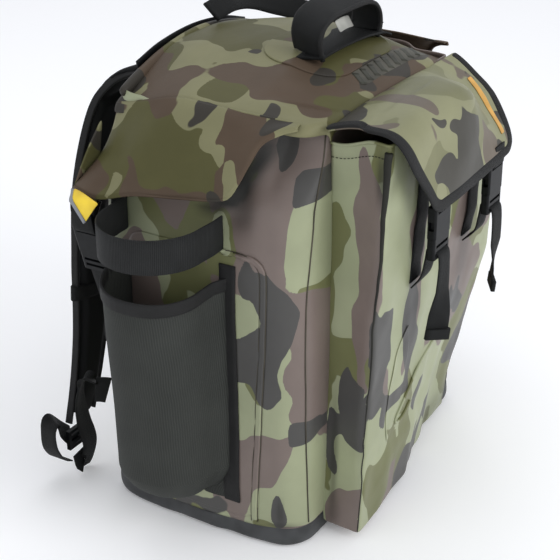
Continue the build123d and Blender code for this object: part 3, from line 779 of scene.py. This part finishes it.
# ---------------------------------------------------------------- handle
base_line = [on_roof(x, -49, 4.2) for x in spread(-62, 92, 25)]
base = sweep("handle_base_strip", base_line, (0.42, 0.91, -0.05), band(48, 2.4), black_webbing, count=48)
place(base, "roll_top", "webbing", "handle_base")
arch = [
    (-50, -50, 492), (-54, -50, 502), (-55, -50, 513), (-48, -50, 524), (-32, -50, 530), (-10, -50, 532),
    (38, -50, 531.5), (60, -50, 527), (73, -50, 517), (77, -50, 505), (75, -50, 495), (70, -50, 489),
]
slant = Vector((0.30, 0.95, 0.16))
loop = sweep("handle_loop", arch, slant, band(40, 5.0), black_webbing, count=90, level=1)
hems = []
for s in (-1, 1):
    hem_line = [Vector(p) + slant * (s * 19.6) for p in arch]
    hems.append(sweep("hem", hem_line, slant, disc(2.6), binding_finish, count=90))
for obj in (loop, join("handle_piping", hems)):
    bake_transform(obj)
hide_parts("handle_band")
tag_rows = [
    [Vector((x, -42 + s * 7, 494 + s * 11 + 1.2 * sin(pi * (x - 30) / 30))) for x in spread(30, 60, 9)]
    for s in spread(0, 1, 5)
]
place(surface("care_label", tag_rows, tag_finish, thick=0.7), "roll_top", "tag_cloth", "care_tag")
place(roof_patch("roof_print", -110, -90, -38, 104, 4, 1.0, dark_print, 0.6), "roll_top", CAMO)
for k in range(9):
    x = -38 + 15.5 * k
    bar = [on_roof(x - 4, -108, 1.2), on_roof(x + 6, -93, 1.4)]
    place(sweep(f"roof_bar_{k}", bar, (1, 0, 0), band(8, 1.8), roof_bar, count=6), "roll_top", CAMO)

# ---------------------------------------------------------------- front pocket
POCKET_FOOT, POCKET_TOP = 11, 449
POCKET_LEFT = -150.0
POCKET_BACK = -122
POCKET_ROOT = [(11, 147), (97, 143), (214, 139), (324, 136), (432, 134), (449, 134)]
SLUMP_ACROSS = [(-91, 0), (-46, 7), (-15, 9), (27, 20), (56, 27), (82, 34), (150, 37)]
SLUMP_UP = [(11, 1.0), (45, 0.88), (105, 0.66), (175, 0.34), (226, 0.12), (336, 0.04), (449, 0.0)]


def pocket_depth(x, z):
    """Y of the pocket's front. Its lower right falls back towards the bag."""
    y = -168 - 24 * (z - POCKET_FOOT) / (POCKET_TOP - POCKET_FOOT)
    y += look_up(x, SLUMP_ACROSS) * look_up(z, SLUMP_UP) + 20 * ease((x - 20) / 90) * ease((z - 372) / 46)
    y -= 1.6 * crumple(x, 0, z * 0.45, 34, 9.1) + 0.8 * crumple(x, 0, z, 17, 2.7)
    y += 4 * bump_at(z, 96, 12) * bump_at(x, -40, 70)
    y -= 4 * bump_at(z, 78, 10) * bump_at(x, -20, 60)
    return y


def on_pocket(x, z, out=0.0):
    return Vector((x, pocket_depth(x, z) - out, z))


def pocket_row(z):
    """One row of the pocket: its left gusset, its front and its right gusset."""
    root = look_up(z, POCKET_ROOT)
    right = 150 - 20 * ease((z - 300) / 140) - 6 * bump_at(z, 60, 60)
    left = POCKET_LEFT
    points = []
    for t in [k / 10 for k in range(10)]:
        y = POCKET_BACK + (pocket_depth(left, z) + 5 - POCKET_BACK) * t
        pinch = 3.5 * sin(pi * t) * look_up(z, [(11, 0.2), (200, 1), (449, 1.2)])
        points.append(Vector((-root + (left + root) * t + pinch + 0.8 * crumple(0, y, z * 0.5, 40, 3.3), y, z)))
    points.append(on_pocket(left, z, -2.4) + Vector((0.2, 0, 0)))
    points += [on_pocket(x, z) for x in spread(left + 3, right - 4, 40)]
    points.append(on_pocket(right, z, -4))
    edge = pocket_depth(right, z) + 5
    for t in [k / 8 for k in range(1, 9)]:
        points.append(Vector((right + (root - right) * t - 3 * sin(pi * t), edge + (POCKET_BACK - edge) * t, z)))
    return points


pocket_rows = []
for z in [POCKET_FOOT, 13, 17, 24] + spread(34, 430, 34) + [438, 444, POCKET_TOP]:
    level = max(z - 380, 0) / (POCKET_TOP - 380)
    row = []
    for p in pocket_row(z):
        sag = 36 * ease((p.x + 5) / 108) + 13 * ease((p.y + 180) / 50)
        row.append(p - Vector((0, 0, sag * level)))
    pocket_rows.append(row)
closed = [Vector((p.x * 0.985, p.y + (2.5 if p.y < -130 else 0), 10.5)) for p in pocket_rows[0]]
floor_in = [Vector((p.x * 0.9, POCKET_BACK, 11.5)) for p in pocket_rows[0]]
pocket = surface("front_pocket_shell", [floor_in, closed] + pocket_rows, front_camo, thick=-1.8)
place(pocket, "bag", CAMO, "pocket_gusset", "pocket_front")
rim = [p + Vector((0, 0.5, 0.5)) for p in pocket_rows[-1]]
hem = sweep("pocket_rim", rim, (0, 0, 1), band(3, 3.0), front_camo, count=110, straight=True)
place(hem, "bag", CAMO, "pocket_hem")
FRONT_PRINT = {
    "sage": [
        (-112, 360, 26, 86, 0.4), (-95, 226, 10, 44, 0.45), (-20, 300, 40, 90, 0.34), (-114, 94, 18, 20, 0.5),
    ],
    "olive": [(20, 360, 30, 50, 0.3), (-90, 70, 40, 44, 0.3)],
    "brown": [(-64, 330, 22, 64, 0.36), (44, 250, 26, 60, 0.3), (-40, 400, 60, 26, 0.3)],
    "charcoal": [
        (-122, 232, 13, 26, 0.5), (-132, 180, 15, 26, 0.45), (-68, 262, 14, 40, 0.5), (-58, 196, 15, 34, 0.5),
        (-84, 150, 34, 12, 0.5), (-116, 134, 9, 18, 0.45), (-10, 120, 16, 24, 0.3),
    ],
}
mark_print(pocket, 0, 2, FRONT_PRINT)
GUSSET_PRINT = {
    "sage": [(-136, 412, 14, 46, 0.42), (-142, 282, 12, 44, 0.42), (-156, 96, 14, 22, 0.3)],
    "olive": [(-134, 350, 10, 34, 0.34), (-150, 212, 26, 20, 0.3)],
    "brown": [(-166, 372, 14, 70, 0.42), (-164, 268, 12, 60, 0.36), (-158, 34, 30, 30, 0.6)],
    "charcoal": [
        (-136, 336, 9, 24, 0.36), (-152, 176, 10, 28, 0.36), (-158, 132, 12, 26, 0.36), (-134, 120, 8, 40, 0.4),
    ],
}


def on_gusset(p):
    return p.x < -60 and p.y > pocket_depth(POCKET_LEFT, p.z) + 3


mark_print(pocket, 1, 2, GUSSET_PRINT, where=on_gusset)
mark_print(hem, 0, 2, FRONT_PRINT)
# Painted shade in the pocket: under the flap by the gusset's front corner, and in the gap low between the gusset
# and the bag.
paint_fold_shade(pocket, 1, 2, [(-183, 414, 7, 26, 0.7), (-134, 96, 5, 60, 0.5), (-136, 30, 8, 24, 0.3)])
# The dark piping along the pocket's front left corner is partly a real seam and partly painted shadow: it thickens
# towards the top to stand for the dark gap between the gusset and the front.
corner_line = [Vector((-150.6, pocket_depth(POCKET_LEFT, z) + 1.5, z)) for z in spread(443, 14, 40)]
corner_seam_shadow = sweep(
    "pocket_corner_seam_and_shadow", corner_line, (0, 1, 0), disc(1.6), thread_dark, count=80, straight=True,
    scale=lambda t: 0.4 + 2.2 * (1 - t) ** 4,
)
place(corner_seam_shadow, "bag", "edge_binding")
hem_seam = [p + Vector((-0.9, 0, -13)) for p in pocket_rows[-1][:11]]
place(stitches("gusset_stitches", hem_seam, thread_dark), "bag", "edge_binding")
fold_rows = []
for t in spread(0, 1, 17):
    half = 19 * sin(pi * t) ** 0.7 + 0.2
    middle = -96 + 22 * t
    fold_rows.append([on_pocket(x, 98 + 132 * t, 0.3) for x in spread(middle - half, middle + half, 9)])
weld = surface("pocket_weld", fold_rows, front_camo, thick=0.4)
mark_print(weld, 0, 2, FRONT_PRINT)
place(weld, "bag", CAMO, "pocket_patch")
rim_points = [(8, 172), (-18, 158), (-46, 142), (-68, 127), (-78, 116), (-72, 109), (-54, 110), (-36, 117)]
rim_line = [on_pocket(x, z, 0.6) for x, z in rim_points]
place(sweep("pocket_fold_rim", rim_line, (0, -1, 0), disc(1.7), front_camo, count=50), "bag", CAMO)

for side, x in (("left", -68), ("right", 68)):
    line, section = [on_pocket(x, z, 1.6) for z in spread(402, 281, 24)], band(WEBBING, 1.7)
    strap = sweep(f"anchor_strap_{side}", line, (1, 0, 0), section, black_webbing, count=40, straight=True)
    place(strap, "bag", "webbing", *(("anchor_straps",) if side == "left" else ()))

# ---------------------------------------------------------------- flap
profile_yz = [
    (-124.5, 459), (-136, 463.5), (-152, 467), (-172, 467.5), (-190, 465.5),
    (-201, 457), (-207, 443), (-212, 418), (-216, 393), (-219, 369),
]
slumped_yz = [
    (-124.5, 457), (-137, 449), (-152, 438), (-170, 423), (-186, 410), (-200, 398), (-210, 386), (-216, 373),
]
PROFILE, SLUMPED = (curve([(0, y, z) for y, z in line], 120) for line in (profile_yz, slumped_yz))
PROFILE_LENGTH = sum((b - a).length for a, b in zip(PROFILE, PROFILE[1:]))
FLAP_CORNER = 14
FLAP_HALF = [(0, 144), (30, 146), (68, 145), (86, 141), (110, 131), (140, 116), (165, 103), (176, 97)]


def flap_point(x, run, lift=0.0):
    """A point of the flap from its place in the flat cloth: across, and from the root down."""
    share = run / PROFILE_LENGTH
    at = min(max(share, 0), 1) * (len(PROFILE) - 1)
    k = min(int(at), len(PROFILE) - 2)
    slump = ease((x - 2) / 108)
    lines = [PROFILE[m].lerp(SLUMPED[m], slump) for m in (k, k + 1)]
    p = lines[0].lerp(lines[1], at - k)
    ahead = (lines[1] - lines[0]).normalized()
    normal = Vector((0, ahead.z, -ahead.y))
    normal = normal if normal.z >= 0 and normal.y <= 0.01 else -normal
    left = ease((-x - 70) / 74)
    upper = 1 - ease((share - 0.62) / 0.38)
    out = Vector((x - 8 * left * upper, p.y, p.z - 4.5 * left * upper)) + normal * lift
    out += normal * (1.0 * crumple(x, run, 0, 52, 3.9) * ease(share / 0.1))
    raised, sunk = bump_at(share, 0.78, 0.12) * bump_at(x, -30, 26), bump_at(share, 0.8, 0.12) * bump_at(x, 18, 20)
    out += normal * (2.2 * raised - 2.0 * sunk)
    return out


def flap_half(run):
    return look_up(run, FLAP_HALF)


flap_rows = []
for run in spread(0, PROFILE_LENGTH - 2.5, 45):
    half = flap_half(run) - 2.5 - corner_cut(PROFILE_LENGTH - run, FLAP_CORNER)
    flap_rows.append([flap_point(x, run) for x in spread(-half, half, 41)])
flap = surface("flap_cloth", flap_rows, flap_camo, thick=2.4)
FLAP_PRINT = {
    "sage": [(-90, 384, 8, 9, 0.9), (-60, 425, 14, 12, 0.3)],
    "olive": [(0, 464, 34, 4, 0.35), (70, 448, 30, 8, 0.3)],
    "brown": [(40, 400, 22, 20, 0.5), (-64, 466, 13, 4, 0.5)],
    "charcoal": [
        (-22, 414, 26, 24, 0.6), (-20, 388, 20, 16, 0.5), (-78, 401, 26, 11, 0.6), (-50, 388, 20, 11, 0.5),
        (-68, 452, 14, 6, 0.6), (-46, 438, 10, 8, 0.5), (8, 429, 15, 8, 0.5), (106, 402, 10, 14, 0.4),
    ],
}
mark_print(flap, 0, 2, FLAP_PRINT)
place(flap, "flap", CAMO, "flap_panel")
edge_run = [(-flap_half(r), r) for r in spread(0, PROFILE_LENGTH - FLAP_CORNER, 30)]
for turn in [radians(15 * k) for k in range(1, 7)]:
    run = PROFILE_LENGTH - FLAP_CORNER + FLAP_CORNER * sin(turn)
    edge_run.append((-flap_half(run) + FLAP_CORNER * (1 - cos(turn)), run))
bottom = flap_half(PROFILE_LENGTH) - 16
edge_run += [(x, PROFILE_LENGTH) for x in spread(-bottom, bottom, 30)]
edge_run += [(-x, r) for x, r in reversed(edge_run[:36])]
BINDING = ((13, 0.5), (7, 0.9), (1.2, 0.8), (-0.4, 0.0), (-0.4, -2.2), (1.2, -3.1), (7, -3.2), (13, -2.9))
binding_rows = []
for i, (x, run) in enumerate(edge_run):
    before, after = edge_run[max(i - 1, 0)], edge_run[min(i + 1, len(edge_run) - 1)]
    dx, dr = after[0] - before[0], after[1] - before[1]
    dx, dr = dx / sqrt(dx * dx + dr * dr), dr / sqrt(dx * dx + dr * dr)
    binding_rows.append([flap_point(x + dr * inset, run - dx * inset, lift) for inset, lift in BINDING])
binding = surface("flap_edge_binding", binding_rows, binding_finish, around=True, caps=True)
place(binding, "flap", "edge_binding", "flap_binding")
stripe_rows = []
for share in spread(0, 1, 22):
    run = 46 + 96 * share
    middle = flap_half(run) - 25 - 4 * sin(pi * share)
    stripe_rows.append([flap_point(middle + x, run, 0.9) for x in spread(-5, 5, 5)])
place(surface("flap_amber_stripe", stripe_rows, amber_print, thick=0.5), "flap", "amber_print", "flap_stripe")

# Of each clip's webbing tail: its x, how far its end swings aside, and how it twists
FLAP_TAILS = {
    "left": (-68, -5, [(1, 0, 0), (1, 0, 0), (1, -0.1, 0), (0.8, -0.6, 0), (0.7, -0.7, 0.1)]),
    "right": (68, 3, [(1, 0, 0), (1, 0, 0), (1, 0, 0), (0.9, 0.4, 0), (0.8, 0.5, 0)]),
}
for side, (x, lean, twist) in FLAP_TAILS.items():
    tab_line = [(-213.6, 388), (-214, 374), (-213.4, 365.5), (-208, 362.6), (-203.5, 365), (-204.2, 374)]
    tab_line = [(x, y, z) for y, z in tab_line]
    tab = sweep(f"flap_tab_{side}", tab_line, (1, 0, 0), band(WEBBING, 1.5), black_webbing, count=40)
    place(tab, "flap", "webbing", *(("flap_tabs",) if side == "left" else ()))
    hang = [
        (x, -201.3, 322), (x, -205, 320.3), (x, -209.5, 320), (x, -214.5, 316),
        (x + lean * 0.3, -216, 296), (x + lean * 0.7, -215, 258), (x + lean, -212, 222),
    ]
    end = [(x + lean * 0.93, -214.6, 234), (x + lean, -213.4, 222)]
    drop = [(x, -201.3, 322), (x, -199.5, 308), (x, -195.5, 290), (x, pocket_depth(x, 280) - 3.2, 276)]
    tail = sweep(f"flap_tail_{side}_strap", hang, twist, band(WEBBING, 1.7), black_webbing, count=60)
    fold = sweep(f"flap_tail_{side}_fold", end, twist[-1], band(26.4, 4.6), black_webbing, count=8)
    inner = sweep(f"flap_tail_{side}_inner", drop, (1, 0, 0), band(WEBBING, 1.6), black_webbing, count=30)
    place(tail, f"flap_clip_{side}", "webbing", f"flap_tail_{side}")
    place(fold, f"flap_clip_{side}", "webbing")
    place(inner, f"flap_clip_{side}", "webbing")

# ---------------------------------------------------------------- rod-tube pocket
TUBE_X, TUBE_Y = -229.0, 22.0
MESH_FOOT, MESH_BEND, MESH_TOP = 58.0, 92.0, 309


def sleeve(z, radius, toe=0.0, wall=0.6):
    """U-shaped line round the tube's place at one height, from the back of the pocket to its front edge."""
    shut = sqrt(max(1 - toe**2, 0.0))
    wide, deep = radius * (0.5 + 0.5 * shut), radius * (0.25 + 0.75 * shut)
    wall_back, wall_front = -side_x(TUBE_Y + wide, z) - wall, -side_x(TUBE_Y - wide - 8, z) - wall
    points = [Vector((wall_back, TUBE_Y + wide + 4, z)), Vector(((wall_back + TUBE_X) / 2, TUBE_Y + wide + 1, z))]
    for turn in [radians(90 + 9 * k) for k in range(21)]:
        points.append(Vector((TUBE_X + deep * cos(turn), TUBE_Y + wide * sin(turn), z)))
    points.append(Vector(((wall_front + TUBE_X) / 2, TUBE_Y - wide - 1.5, z)))
    points.append(Vector((wall_front, TUBE_Y - wide - 9, z)))
    return points


def outside(point):
    """From 0 at the bag to 1 at the far side of the tube."""
    return ease((-195 - point.x) / 88)


def rim_drop(point):
    """The rim dips round the outside of the tube."""
    front = ease((TUBE_Y - point.y) / 60)
    return -2 - 12 * outside(point) - 8 * front * (1 - 0.7 * outside(point))


def pocket_lean(z):
    """The foot of the rod pocket hangs a little towards the front."""
    return -7 * ease((300 - z) / 240)


rod = []
for toe in [1 - k / 6 for k in range(7)]:
    rod.append(sleeve(MESH_FOOT + (MESH_BEND - MESH_FOOT) * (1 - toe**1.6), 54, toe * 0.97))
for share in spread(0.04, 1, 22):
    z = MESH_BEND + (MESH_TOP - MESH_BEND) * share
    row = []
    for p in sleeve(z, 54 - 0.8 * sin(pi * share)):
        row.append(Vector((p.x, p.y + 0.8 * crumple(p.x, p.y, p.z * 0.5, 44, 1.9), z + rim_drop(p) * share**3)))
    rod.append(row)
rod = [[p + Vector((0, pocket_lean(p.z), 0)) for p in row] for row in rod]
shut_row = [Vector((-side_x(p.y, 58) - 2, TUBE_Y + (p.y - TUBE_Y) * 0.55, 57)) for p in rod[0]]
rod_left = surface("rod_pocket_mesh_left", [shut_row] + rod, mesh_grey, thick=-1.4)
tape_line = []
for z in spread(47, 315, 30):
    y = -41 + pocket_lean(z)
    tape_line.append(Vector((-side_x(y, z) - 2.2, y, z)))
tape = sweep("rod_pocket_tape_left", tape_line, (0, 1, 0), band(19, 2.0), binding_finish, count=60, straight=True)
corner_rows = []
for z in spread(49, 96, 10):
    far = TUBE_Y - 54 * (0.52 + 0.48 * ease((z - 49) / 46)) + pocket_lean(z)
    corner_rows.append([Vector((-side_x(y, z) - 1.4, y, z)) for y in spread(far, -38 + pocket_lean(z), 6)])
gore = surface("rod_pocket_gore_left", corner_rows, mesh_grey, thick=1.0)
rim_line = [p - Vector((0, 0, 5)) for p in rod[-1]]
rim_band = band(14, 3.2)
rim_tape = sweep("rod_pocket_rim_left", rim_line, (0, 0, 1), rim_band, binding_finish, count=110, straight=True)
place_both(rod_left, "bag", "pocket_mesh", "rod_pocket_left")
place_both(tape, "bag", "edge_binding", "pocket_binding_left")
place_both(gore, "bag", "pocket_mesh")
place_both(rim_tape, "bag", "edge_binding")

loop_line = [p - Vector((0, 0, 1.5 * outside(p))) for p in sleeve(347, 55.0, wall=1.5)[:-1]]
loop_line.insert(0, Vector((-side_x(98, 347) - 2, 100, 348)))
loop_line.append(Vector((-side_x(-33, 347) - 1.5, -34, 347)))
tube_loop = sweep("tube_loop_left", loop_line, (0, 0, 1), band(36, 2.0), ribbed_webbing, count=120)
place_both(tube_loop, "bag", "webbing", "tube_strap_left")

# ---------------------------------------------------------------- straps at the sides and back
tip = Vector((-234, 100, 345))
LEAN = radians(15.8)  # how far the pull of the ear buckles leans out from upright
pull = Vector((-sin(LEAN), 0, cos(LEAN)))
mouth = tip - pull * 38
face = Vector((-cos(LEAN), 0, -sin(LEAN)))


def along_pull(distance, out=0.0):
    return mouth + pull * distance + face * out


tab_line = [along_pull(*at) for at in ((68, -2), (56, 4), (42, 6), (30, 6), (27, 1), (29, -4), (44, -5))]
ear_tab = sweep("ear_tab_left", tab_line, (0, 1, 0), band(WEBBING, 1.5), black_webbing, count=40)
low_line = [along_pull(*at) for at in ((-8, -4), (-12, 0), (-20, 1), (-56, 0), (-84, 0))]
low_line += [(-204, 100, 205), (-side_x(100, 182) - 1.6, 100, 182)]
low_strap = sweep("closure_strap_left", low_line, (0, 1, 0), band(WEBBING, 1.6), black_webbing, count=60)
place_both(ear_tab, "roll_top", "webbing", "ear_tabs")
for side, sign, strap in (("left", 1, low_strap), ("right", -1, other_side(low_strap))):
    upper, lower = along_pull(-22) * MM, along_pull(-100) * MM
    start, end = (upper.x * sign, upper.y, upper.z), (lower.x * sign, lower.y, lower.z)
    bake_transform(strap)
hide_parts("closure_straps")


def width_at(stations, share):
    """Width of a soft pad, from its (x, y, z, width) stations."""
    return look_up(share * (len(stations) - 1), list(enumerate(s[3] for s in stations)))


def pad_rows(stations, thick, count):
    """Rows of a soft pad along a line of stations."""
    line = curve([s[:3] for s in stations], count)
    rows = []
    for i, p in enumerate(line):
        half = width_at(stations, i / (count - 1)) / 2
        ahead = (line[min(i + 1, count - 1)] - line[max(i - 1, 0)]).normalized()
        side = (Vector((1, 0, 0)) - ahead * ahead.x).normalized()
        up = ahead.cross(side) * thick / 2
        up *= {0: 0.55, 1: 0.85}.get(min(i, count - 1 - i), 1.0)
        row = []
        for sign in (1, -1):
            for a in spread(-sign, sign, 15)[:-1]:
                row.append(p + side * half * a + up * sign * (1 - abs(a) ** 5) ** 0.5)
        rows.append(row)
    return rows


def plump(obj, voxel, cap, frames=14):
    """Fills a pad out as foam does under its cover, then leaves it as a plain mesh."""
    scene = bpy.context.scene
    scene.frame_set(1)
    remesh = obj.modifiers.new("remesh", "REMESH")
    remesh.mode = "VOXEL"
    remesh.voxel_size = voxel * MM
    settle(obj)
    start = [v.co.copy() for v in obj.data.vertices]
    cloth = obj.modifiers.new("foam", "CLOTH")
    settings = cloth.settings
    settings.quality = 5
    settings.mass = 0.3
    settings.tension_stiffness = settings.compression_stiffness = 30
    settings.use_pressure = True
    settings.uniform_pressure_force = 4
    settings.effector_weights.gravity = 0
    cloth.point_cache.frame_start = 1
    cloth.point_cache.frame_end = frames
    for step in range(1, frames + 1):
        scene.frame_set(step)
    settle(obj)
    for vertex, rest in zip(obj.data.vertices, start):
        move = vertex.co - rest
        if move.length > cap * MM:
            vertex.co = rest + move.normalized() * cap * MM
    subdivide(obj)
    settle(obj)
    obj.data.shade_smooth()
    scene.frame_set(1)
    return obj


shoulder = [
    (-60, 137, 456, 54), (-76, 160, 446, 56), (-94, 176, 416, 58), (-118, 183, 340, 58), (-131, 182, 256, 58),
    (-143, 179, 180, 54), (-160, 177.5, 118, 47), (-178, 177, 68, 41),
]
strap_left = surface("shoulder_pad_left", pad_rows(shoulder, 9.5, 64), pad_mesh, around=True, caps=True)
plump(strap_left, 4.5, 3.0)
strap_right = other_side(strap_left)
for side, strap in (("left", strap_left), ("right", strap_right)):
    place(strap, f"shoulder_{side}", "padded_mesh", f"shoulder_strap_{side}")

edges = []
spine = curve([s[:3] for s in shoulder], 60)
for sign in (-1, 1):
    line = []
    for i, p in enumerate(spine):
        line.append(p + Vector((sign * (width_at(shoulder, i / 59) / 2 + 0.6), 0, 0)))
    edges.append(sweep("edge", line, (0, 1, 0), band(9, 3.0), binding_finish, count=90, straight=True))
binding = join("shoulder_binding_left", edges)
spine_line = [p + Vector((0, 7.4, 0)) for p in spine[6:58]]
spine_strap = sweep(
    "shoulder_webbing_left", spine_line, (1, 0, 0), band(WEBBING, 1.6), black_webbing, count=80, straight=True
)
cuff_line = [(-138, 181, 222), (-140, 180.6, 206)]
cuff = sweep("shoulder_cuff_left", cuff_line, (1, 0, 0.1), oval(33, 9.5), black_webbing, count=6)
for obj in (binding, spine_strap, cuff):
    place_both(obj, "shoulder_left", "webbing")

tail_line = [
    (-187, 179, 48), (-190, 184, 44), (-202, 187, 58), (-214, 187, 76),
    (-224, 186, 70), (-225, 185, 48), (-216, 184, 30), (-204, 183, 22),
]
tail_turns = [(1, 0.1, 0), (0.7, 0.6, 0.3), (0.2, 1, 0.2), (0, 1, 0), (0, 1, 0)]
free_tail = sweep("shoulder_tail_left", tail_line, tail_turns, band(24, 1.6), black_webbing, count=70)
lower_line = [
    (-195, 133, 128), (-196, 148, 133), (-191, 160, 122), (-190, 166, 98), (-184, 168, 66),
    (-176, 168, 35), (-180, 170, 16), (-187, 171, 12), (-190, 172, 28),
]
lower_turns = [(0.6, 0.6, -0.4), (1, 0.4, 0), (1, 0.1, 0.2), (1, 0, 0), (1, 0, 0)]
lower = sweep("lower_webbing_left", lower_line, lower_turns, band(WEBBING, 1.6), black_webbing, count=80)
tab_line = [(-190, 124, 122), (-195, 128.5, 124), (-200, 134, 125)]
tab = sweep("corner_tab_left", tab_line, (0, 0, 1), band(31, 1.8), black_webbing, count=12)
place_both(free_tail, "shoulder_left", "webbing", "strap_tail_left")
place_both(lower, "bag", "webbing", "lower_webbings")
place_both(tab, "bag", "webbing", "corner_tabs")

yoke_rows = [
    [Vector((x, back_y(x, z) + 2.2 + 1.0 * sin(pi * (z - 426) / 32), z)) for x in spread(-95, 95, 24)]
    for z in spread(426, 458, 7)
]
place(surface("shoulder_yoke_cloth", yoke_rows, black_webbing, thick=1.2), "bag", "webbing", "shoulder_yoke")
PAD_LOW, PAD_HIGH = 62, 423
pad_grid = []
for z, cut in rounded(PAD_LOW, PAD_HIGH, 30, 30):
    half = 118 - cut
    thick = 8.0 * min(1, (min(z - PAD_LOW, PAD_HIGH - z) / 10) ** 0.5 + 0.12)
    row = [Vector((x, back_y(x, z) + 1.0, z)) for x in spread(-half, half, 17)]
    for x in spread(half, -half, 17):
        row.append(Vector((x, back_y(x, z) + 1.4 + thick * (1 - abs(x / half) ** 6) ** 0.5, z)))
    pad_grid.append(row)
back_pad = plump(surface("back_pad_foam", pad_grid, pad_mesh, around=True, caps=True), 5.0, 4.0)
for vertex in back_pad.data.vertices:
    x, y, z = vertex.co / MM
    if y > 129:
        vertex.co.y -= 4.5 * MM * max(bump_at(abs(x), 40, 4.5), bump_at(z, 180, 4.5), bump_at(z, 305, 4.5))
place(back_pad, "bag", "padded_mesh", "back_pad")

# ---------------------------------------------------------------- pieces kept from the frame
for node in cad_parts.values():
    if node.hide_render:
        continue
    node.data.materials.clear()
    node.data.materials.append(buckle_black)
    bevel = node.modifiers.new("softened", "BEVEL")
    bevel.width = 0.0004
    bevel.segments = 2
    bevel.limit_method = "ANGLE"
    node.modifiers.new("normals", "WEIGHTED_NORMAL").keep_sharp = True

# ---------------------------------------------------------------- floor, light and camera
floor_mesh = bpy.data.meshes.new("floor")
floor_mesh.from_pydata([(x, y, -0.0005) for x, y in ((-9, -9), (9, -9), (9, 9), (-9, 9))], [], [[0, 1, 2, 3]])
floor_finish = Finish("floor_paper", 0.9, 0.2)
floor_finish.feed(floor_finish.shader, {"Emission Color": (1, 1, 1, 1), "Emission Strength": 0.1})
floor_mesh.materials.append(floor_finish.done(tone(252, 252, 253)))
add("floor", floor_mesh)

world = bpy.data.worlds.new("studio")
world.use_nodes = True
world.node_tree.nodes["Background"].inputs["Color"].default_value = (0.94, 0.96, 1.0, 1)
world.node_tree.nodes["Background"].inputs["Strength"].default_value = 0.78
bpy.context.scene.world = world


def softbox(name, location, target, size, power):
    light = bpy.data.lights.new(name, "AREA")
    light.shape = "RECTANGLE"
    light.size, light.size_y = size
    light.energy = power
    obj = add(name, light)
    obj.location = location
    obj.rotation_euler = (Vector(target) - Vector(location)).to_track_quat("-Z", "Y").to_euler()


softbox("key", (-0.2, -2.3, 1.3), (0, 0, 0.25), (1.5, 1.3), 26)
softbox("top", (0.6, 0.9, 2.4), (0, 0, 0.3), (1.8, 1.8), 9)
softbox("fill", (-2.4, 0.2, 0.8), (0, 0, 0.2), (1.4, 1.2), 5)

lens = bpy.data.cameras.new("photo_camera")
lens.sensor_width = 36
lens.lens = 85.2
yaw, pitch, roll_angle = 0.537, 0.445, -0.006
ahead = Vector((cos(yaw) * cos(pitch), sin(yaw) * cos(pitch), -sin(pitch)))
right = Vector((sin(yaw), -cos(yaw), 0))
upward = right.cross(ahead)
turned_right = right * cos(roll_angle) + upward * sin(roll_angle)
turned_up = -right * sin(roll_angle) + upward * cos(roll_angle)
camera = add("photo_camera", lens)
axes = Matrix((turned_right, turned_up, -ahead)).transposed().to_4x4()
camera.matrix_world = Matrix.Translation((-1.1828, -0.6884, 0.8604)) @ axes
bpy.context.scene.camera = camera
bpy.context.scene.view_settings.view_transform = "Standard"
